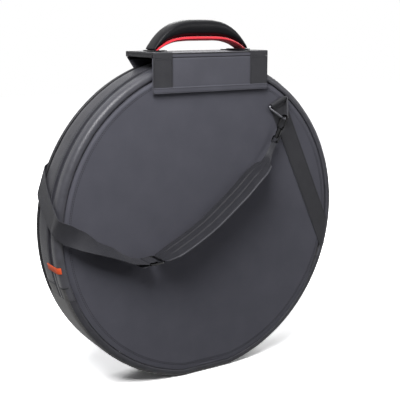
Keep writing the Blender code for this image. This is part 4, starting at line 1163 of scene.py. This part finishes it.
TAPE_LEAN = 24.7
TAPE_REACH = 296 * mm
TAPE_STEPS = 60
TAPE_SEAM_SHARE = 0.86
TAPE_SEAM_START = 3 * mm
TAPE_CROSS_SEAMS = (TAPE_SEAM_START, 24 * mm)
RING_X = 160 * mm
RING_Z = 527 * mm
LOOP_R = 4.2 * mm
LOOP_TAIL = 7 * mm
LOOP_W = 36 * mm
LOOP_FOOT = [(4 * mm, BAND_T / 2)]
LOOP_RETURN = [(3.4 * mm, 6.6 * mm), (7 * mm, 3.5 * mm), (LOOP_R + LOOP_TAIL, 1.5 * BAND_T)]


def make_tapes():
    for label, side, body in (("front", -1, "lid"), ("rear", 1, "bag")):
        lean = rad(TAPE_LEAN)
        middle = Vector((-side * RING_X, 0, RING_Z))
        down = Vector((-side * math.sin(lean), 0, -math.cos(lean)))
        across = Vector((-side * math.cos(lean), 0, math.sin(lean)))
        out = REARWARD * side
        base = out * (HALF + GAP)
        begin = LOOP_R + LOOP_TAIL + GAP

        edges = []
        for u in (-1, 1):
            offset = middle + across * (u * WEBBING_W / 2) - CENTRE
            half = offset.dot(down)
            edges.append(-half + math.sqrt(half**2 - offset.length_squared + TAPE_REACH**2))
        start = middle + down * begin + base + out * BAND_T / 2
        line = [start + down * ((max(edges) - begin) * i / TAPE_STEPS) for i in range(TAPE_STEPS + 1)]
        tape = ribbon(label + "_tape_webbing", line, across, WEBBING_W, webbing_outline(BAND_T), WEBBING)
        for vertex in tape.data.vertices:
            offset = Vector((vertex.co.x, 0, vertex.co.z - CENTRE_Z))
            half = offset.dot(down)
            over = offset.length_squared - TAPE_REACH**2
            if over > 0 and half > 0:
                vertex.co -= down * (half - math.sqrt(max(0, half**2 - over)))
        settle(tape, body, (label + "_tape",))
        surface = start + out * BAND_T / 2
        reach = across * (TAPE_SEAM_SHARE * WEBBING_W / 2)
        spots = []
        for edge in (surface - reach, surface + reach):
            spots += seam([edge + down * TAPE_SEAM_START, edge + down * (min(edges) - begin)], out)
        for run in TAPE_CROSS_SEAMS:
            spots += seam([surface + down * run - reach, surface + down * run + reach], out)
        stitched(label + "_tape_stitches", body, spots)

        wrap_r = LOOP_R - BAND_T / 2
        turns = [rad(-90 - 15 * k) for k in range(13)]
        rounds = [(wrap_r * math.cos(turn), LOOP_R + wrap_r * math.sin(turn)) for turn in turns]
        spots = [middle + base + down * d + out * o for d, o in LOOP_FOOT + rounds + LOOP_RETURN]
        line = [middle + base + down * (LOOP_R + LOOP_TAIL) + out * (BAND_T / 2), *smooth_line(spots, 3)]
        loop = ribbon(label + "_ring_wrap", line, across, LOOP_W, webbing_outline(BAND_T), WEBBING)
        settle(loop, body, (label + "_ring_loop",))


# Shoulder pad

PAD_KNOTS = [(116.26, 411.95), (88.36, 394.9), (51.16, 362.35), (16.12, 335.07), (-17.98, 309.96)]
PAD_KNOTS += [(-62.0, 284.54), (-93.0, 269.35), (-119.35, 255.4)]
PAD_REAR_Y = -49 * mm
PAD_W = 62 * mm
PAD_END_W = 44 * mm
PAD_T = 9 * mm
PAD_END_T = 4 * mm
PAD_ROUNDING = 12 * mm
# Shares of the pad's half width: where its channels and edge seams lie, and how wide a channel is
PAD_CHANNEL = 0.36
PAD_EDGE_SEAM = 0.9
PAD_CHANNEL_SHARE = 0.045
# Shares of its half thickness
PAD_CHANNEL_DEEP = 0.5
PAD_RIM_SHARE = 0.32
PAD_CROWN_SHARE = 0.68
PAD_ROUND_POWERS = (3.2, 0.6)
# The pad is full from a sixth of its length in
PAD_TAPER = 6
PAD_LUMPS = (0.5 * mm, 22 * mm)
# The near cord is in the paler bead vinyl, a painted highlight along the pad's near edge
PAD_CORDS = (("near", 1, 1.7 * mm, BEAD_VINYL), ("far", -1, 1.15 * mm, PIPING_VINYL))
SEAM_PROUD = 0.1 * mm


def pad_half(share):
    """Half the pad's thickness, and how far its ridges have risen, at a share of its length."""
    full = min(1, min(share, 1 - share) * PAD_TAPER)
    return (PAD_END_T + (PAD_T - PAD_END_T) * full) / 2, full


def pad_crown(u):
    """How full the pad is, as a share of its half thickness, at a share of its half width."""
    return PAD_RIM_SHARE + PAD_CROWN_SHARE * (1 - abs(u) ** PAD_ROUND_POWERS[0]) ** PAD_ROUND_POWERS[1]


def pad_outline(share):
    """A padded strap's section: three soft ridges between two sewn channels, thin at its edges."""
    half, full = pad_half(share)
    wide = [0, 0.12, 0.22, 0.3, 0.33, PAD_CHANNEL, 0.39, 0.42, 0.5, 0.62, 0.74, 0.84, 0.91, 0.955, 0.985]
    wide = [-u for u in reversed(wide[1:])] + wide
    top = []
    for u in wide:
        dip = PAD_CHANNEL_DEEP * math.exp(-(((abs(u) - PAD_CHANNEL) / PAD_CHANNEL_SHARE) ** 2)) * full
        top.append((u, half * (pad_crown(u) - dip)))
    return [(-1, 0)] + top + [(1, 0)] + [(u, -h) for u, h in reversed(top)]


def pad_line():
    """The pad's middle line and its width at each place, narrower and rounded off at its ends."""
    line = smooth_line([Vector((x * mm, 0, z * mm)) for x, z in PAD_KNOTS], ROUTE_STEPS)
    widths = []
    for i, point in enumerate(line):
        share = i / (len(line) - 1)
        near = min(share, 1 - share)
        swell = math.sin(min(1, PAD_TAPER * near) * math.pi / 2)
        end = max(0, 1 - near * len(PAD_KNOTS) * 4)
        rounding = PAD_ROUNDING * (1 - math.sqrt(1 - end**2))
        widths.append(PAD_END_W + (PAD_W - PAD_END_W) * swell - rounding)
        point.y = PAD_REAR_Y - widths[-1] / 2 - rounding / 2
    return line, widths


def make_pad():
    line, widths = pad_line()
    count = len(line)
    pad = ribbon("shoulder_pad_cloth", line, FORWARD, widths, pad_outline, PAD_CANVAS)
    soften(pad, *PAD_LUMPS)
    lined(pad, LINING, lambda centre, normal: normal.z < -0.35 and abs(normal.y) < 0.75)
    settle(pad, "lid", ("shoulder_pad",))
    for name, u, radius, vinyl in PAD_CORDS:
        edge = [p + FORWARD * (u * w / 2) for p, w in zip(line, widths)]
        piping = ribbon(f"pad_{name}_piping", edge, FORWARD, 2 * radius, cord_outline(radius, 12), vinyl)
        settle(piping, "lid")
    ends = [line[0], *line, line[-1]]
    runs = [(b - a).normalized() for a, b in zip(ends, ends[2:])]
    spots = []
    for u in (-PAD_CHANNEL, PAD_CHANNEL, -PAD_EDGE_SEAM, PAD_EDGE_SEAM):
        for sign in (1, -1):
            edge = []
            normals = []
            for i, (p, w, run) in enumerate(zip(line, widths, runs)):
                half, full = pad_half(i / (count - 1))
                dip = PAD_CHANNEL_DEEP * full if abs(u) == PAD_CHANNEL else 0
                up = run.cross(FORWARD).normalized() * sign
                edge.append(p + FORWARD * (u * w / 2) + up * (half * (pad_crown(u) - dip) + SEAM_PROUD))
                normals.append(up)
            spots += seam(edge, normals)
    stitched("pad_stitches", "lid", spots)


# Shoulder strap

NECK_KNOTS = [(145.66, -59.8, 447.8), (131.09, -65.4, 429.95), (116.52, -71.0, 412.1)]
NECK_STEPS = 14
NECK_T = 3.2 * mm
NECK_END_W = 30.4 * mm
RIPPLES = 5
RIPPLE_SHARE = 0.55
FOLD_SHARE = 0.35
SELVEDGE_SHARE = 0.6
NECK_BAR = (146.96, -59.8, 450.39)
REAR_BAR = (-201.9, 59.8, 452.98)
SLEEVE_W = 13 * mm
SLEEVE_R = 2.8 * mm
SLEEVE_T = 1.4 * mm
STRAP_KNOTS = [(-150.06, -71.88, 254.47), (-179.8, -70.28, 262.53), (-208.01, -68.0, 278.03)]
STRAP_KNOTS += [(-237.15, -66.48, 291.05), (-264.12, -64.58, 306.24), (-293.88, -62.68, 321.74)]
STRAP_KNOTS += [(-311.21, -53.36, 334.42), (-310.27, -36.8, 343.1), (-308.4, -15.18, 356.06)]
STRAP_KNOTS += [(-305.66, 6.9, 370.53), (-302.09, 26.68, 385.38), (-299.26, 36.8, 395.35)]
STRAP_KNOTS += [(-297.64, 42.6, 400.56), (-294.78, 46.84, 403.63), (-289.55, 48.6, 405.83)]
STRAP_KNOTS += [(-278.38, 48.6, 411.95), (-263.5, 49.27, 419.7), (-243.35, 51.4, 426.52)]
STRAP_KNOTS += [(-227.85, 54.76, 430.24), (-203.44, 59.8, 450.52)]
STRAP_WAYS = [(0.0, -1.0, 0.0), (-0.05, -0.98, -0.15), (-0.15, -0.87, -0.32), (-0.23, -0.86, -0.41)]
STRAP_WAYS += [(-0.38, -0.5, -0.72), (-0.36, 0.26, -0.89), (-0.076, 0.586, -0.807), (-0.123, 0.242, -1.001)]
STRAP_WAYS += [(-0.193, 0.0, -1.169), (-0.257, 0.0, -1.201), (-0.344, 0.0, -1.292), (-0.41, 0.0, -1.359)]
STRAP_WAYS += [(-0.41, 0.0, -1.277), (-0.417, 0.0, -1.246), (-0.465, 0.0, -1.336), (-0.348, 0.0, -1.332)]
STRAP_WAYS += [(0.003, 0.0, -1.086), (0.253, 0.0, -0.967), (0.478, 0.0, -0.879), (0.848, 0.0, -0.53)]
STRAP_WIDTHS = [WEBBING_W] * 17 + [25.5 * mm, SLEEVE_W, SLEEVE_W]
STRAP_T = 1.8 * mm
STRAP_BLEND = (Vector((-262 * mm, 40 * mm, 420 * mm)), Vector((-300 * mm, -62 * mm, 322 * mm)))
GATHER_KNOT = 16

ADJUSTER_NEAR = (-121.88, -72, 255.26)
ADJUSTER_FAR = (-147.85, -72, 253.87)
THREADED_W = 36 * mm
THREADED_T = 1.5 * mm
WRAP_R = 3.2 * mm
BAR_IN = 6 * mm
BAR_RISE = 2.6 * mm
TAIL = 16 * mm
TAIL_DROPS = (3.3 * mm, 4 * mm)


def gathered_outline(share):
    """Webbing folded up on itself at the hook, with ripples across it, and flat at the pad."""
    fold = 0.5 * NECK_T * (1 - share**2)
    flat = 0.5 * STRAP_T
    wide = [-1 + 2 * i / 20 for i in range(21)]
    ripple = [fold * RIPPLE_SHARE * math.cos(RIPPLES * math.pi * u) for u in wide]
    thick = [flat + fold * FOLD_SHARE] * len(wide)
    thick[0] = thick[-1] = flat * SELVEDGE_SHARE
    top = [(u, r + t) for u, r, t in zip(wide, ripple, thick)]
    under = [(u, r - t) for u, r, t in zip(wide, ripple, thick)]
    return top + under[::-1]


def strap_outline(share):
    """Flat webbing that gathers into thick folds at the rear hook."""
    last = len(STRAP_KNOTS) - 1
    fold = min(1, max(0, (share - GATHER_KNOT / last) * last / 2))
    return [(u, h * (1 + fold * (NECK_T / STRAP_T - 1))) for u, h in webbing_outline(STRAP_T)(share)]


def sleeve(name, bar, way, body):
    """The sewn end of a strap, turned back round a bar."""
    start = way.orthogonal().normalized()
    other = way.cross(start)
    turns = [rad(20 * k) for k in range(19)]
    line = [Vector(bar) * mm + SLEEVE_R * (math.cos(t) * start + math.sin(t) * other) for t in turns]
    piece = ribbon(name, line, way, SLEEVE_W, webbing_outline(SLEEVE_T), STRAP_WEBBING)
    settle(piece, body)


def make_strap():
    line = smooth_line([Vector(p) * mm for p in NECK_KNOTS], NECK_STEPS)
    shares = [i / (len(line) - 1) for i in range(len(line))]
    widths = [SLEEVE_W + (NECK_END_W - SLEEVE_W) * share**2 for share in shares]
    neck = ribbon("strap_neck_webbing", line, FORWARD, widths, gathered_outline, STRAP_WEBBING)
    settle(neck, "lid", ("strap_neck",))
    sleeve("neck_sleeve", NECK_BAR, FORWARD, "lid")

    line = smooth_line([Vector(p) * mm for p in STRAP_KNOTS], ROUTE_STEPS)
    sides = between([Vector(way) for way in STRAP_WAYS], ROUTE_STEPS)
    widths = between(STRAP_WIDTHS, ROUTE_STEPS)
    strap = ribbon("strap_webbing", line, sides, widths, strap_outline, STRAP_WEBBING)
    settle(strap, ("bag", "lid", *STRAP_BLEND), ("strap_front", "strap_rear"))
    sleeve("rear_sleeve", REAR_BAR, Vector(STRAP_WAYS[-1]), "bag")


def make_adjuster_webbing():
    """The webbing threaded round the adjuster's middle bar, with its tail below."""
    near = Vector(ADJUSTER_NEAR) * mm
    far = Vector(ADJUSTER_FAR) * mm
    middle = (near + far) / 2
    run = (far - near).normalized()
    up = Vector((run.z, 0, -run.x))
    line = [Vector(STRAP_KNOTS[0]) * mm, far + up * WRAP_R, far - run * BAR_IN + up * BAR_RISE]
    line += [middle + up * WRAP_R, middle - run * WRAP_R, middle - up * WRAP_R]
    line += [far - run * BAR_IN - up * BAR_RISE, far - up * TAIL_DROPS[0]]
    line += [far + run * TAIL - up * TAIL_DROPS[1]]
    line = smooth_line(line, 5)
    outline = webbing_outline(THREADED_T)
    threaded = ribbon("adjuster_webbing", line, FORWARD, THREADED_W, outline, STRAP_WEBBING)
    settle(threaded, "lid")


# Hardware keeps its CAD shape and gets its finish


def finish_hardware():
    finishes = {"adjuster": ADJUSTER_NYLON}
    for side in ("front", "rear"):
        finishes[f"{side}_ring"] = RING_STEEL
        for part in ("hook", "eye", "gate"):
            finishes[f"{side}_{part}"] = BLACK_NICKEL
    for side in ("left", "right"):
        for part in ("slider", "pull"):
            finishes[f"{side}_{part}"] = SLIDER_ZINC
    for node, material in finishes.items():
        mesh = frame["nodes"][node].data
        mesh.materials.clear()
        mesh.materials.append(material)


# Studio, in metres and watts

CAMERA_PLACE = Vector((-0.8348, -1.3558, 0.6813))
CAMERA_AIM = Vector((0.0121, 0, 0.3379))
CAMERA_LENS = 75.0
CAMERA_FILM = 36.0
LAMPS = [
    ("key", (-0.74, -0.78, 1.58), (0, 0, 0.45), 0.85, 34),
    ("side", (1.25, -1.5, 1.05), (0, 0, 0.42), 0.5, 6.5),
    ("top", (0.2, 0.5, 2.2), (0, 0, 0.3), 1.4, 8),
    ("rear", (1.2, 1.6, 1.2), (0, 0, 0.3), 1.2, 18),
]
FLOOR_SIZE = 12
# The camera's exposure of the floor: its paper is over-bright, so only the deep of a shadow shows
FLOOR_EXPOSURE = (2.2, 2.2, 2.2, 1)
GLOW_FROM = 0.3
GLOW_TO = 1.3
WHITE = (1, 1, 1, 1)


def aimed(name, data, place, aim):
    made = bpy.data.objects.new(name, data)
    bpy.context.scene.collection.objects.link(made)
    made.location = place
    made.rotation_euler = (Vector(aim) - Vector(place)).to_track_quat("-Z", "Y").to_euler()
    return made


def lamp(name, place, aim, size, power):
    data = bpy.data.lights.new(name, "AREA")
    data.shape = "SQUARE"
    data.size = size
    data.energy = power
    aimed(name, data, place, aim)


def seen_white(tree, inner, outer):
    """The outer shader where the camera, a reflection or glass sees it, and the inner one elsewhere."""
    rays = add(tree, "LightPath").outputs
    sight = add(tree, "Math", {0: rays["Is Camera Ray"], 1: rays["Is Glossy Ray"]}, operation="MAXIMUM")
    both = add(tree, "Math", {0: sight.outputs[0], 1: rays["Is Transmission Ray"]}, operation="MAXIMUM")
    return add(tree, "MixShader", {0: both.outputs[0], 1: inner, 2: outer}).outputs[0]


def make_floor():
    """White paper that keeps the bag's shadow, and throws little light back on the bag."""
    deselect()
    bpy.ops.mesh.primitive_plane_add(size=FLOOR_SIZE)
    made, tree, shader = start_material("studio_floor", 0.9, Specular_IOR_Level=0.0)
    shader.inputs["Base Color"].default_value = linear("#585858")
    place = add(tree, "TexCoord").outputs["Object"]
    reach = add(tree, "VectorMath", {0: place}, operation="LENGTH").outputs["Value"]
    glow_share = add(tree, "MapRange", {0: reach, 1: GLOW_FROM, 2: GLOW_TO}).outputs[0]
    glow = add(tree, "Emission", {"Color": WHITE, "Strength": glow_share}).outputs[0]
    bright = add(tree, "BsdfDiffuse", {"Color": FLOOR_EXPOSURE}).outputs[0]
    exposed = add(tree, "AddShader", {0: bright, 1: glow}).outputs[0]
    paper = add(tree, "BsdfDiffuse", {"Color": linear("#fafafa")}).outputs[0]
    straight_on = add(tree, "LightPath").outputs["Is Camera Ray"]
    seen = add(tree, "MixShader", {0: straight_on, 1: paper, 2: exposed}).outputs[0]
    tree.links.new(seen_white(tree, shader.outputs[0], seen), tree.nodes["Material Output"].inputs["Surface"])
    just_added("floor", made)


def make_studio():
    scene = bpy.context.scene
    scene.view_settings.view_transform = "Standard"
    world = bpy.data.worlds.new("studio")
    scene.world = world
    world.use_nodes = True
    tree = world.node_tree
    tree.nodes.clear()
    soft = add(tree, "Background", {"Color": linear("#f4f6fa"), "Strength": 0.1}).outputs[0]
    white = add(tree, "Background", {"Color": WHITE, "Strength": 1.0}).outputs[0]
    out = add(tree, "OutputWorld")
    tree.links.new(seen_white(tree, soft, white), out.inputs["Surface"])
    make_floor()
    for row in LAMPS:
        lamp(*row)
    camera = bpy.data.cameras.new("camera")
    camera.lens = CAMERA_LENS
    camera.sensor_width = CAMERA_FILM
    scene.camera = aimed("camera", camera, CAMERA_PLACE, CAMERA_AIM)


make_studio()
make_faces()
make_rim()
make_dividers()
make_zip()
make_saddle()
make_handle()
make_tapes()
make_pad()
make_strap()
make_adjuster_webbing()
finish_hardware()
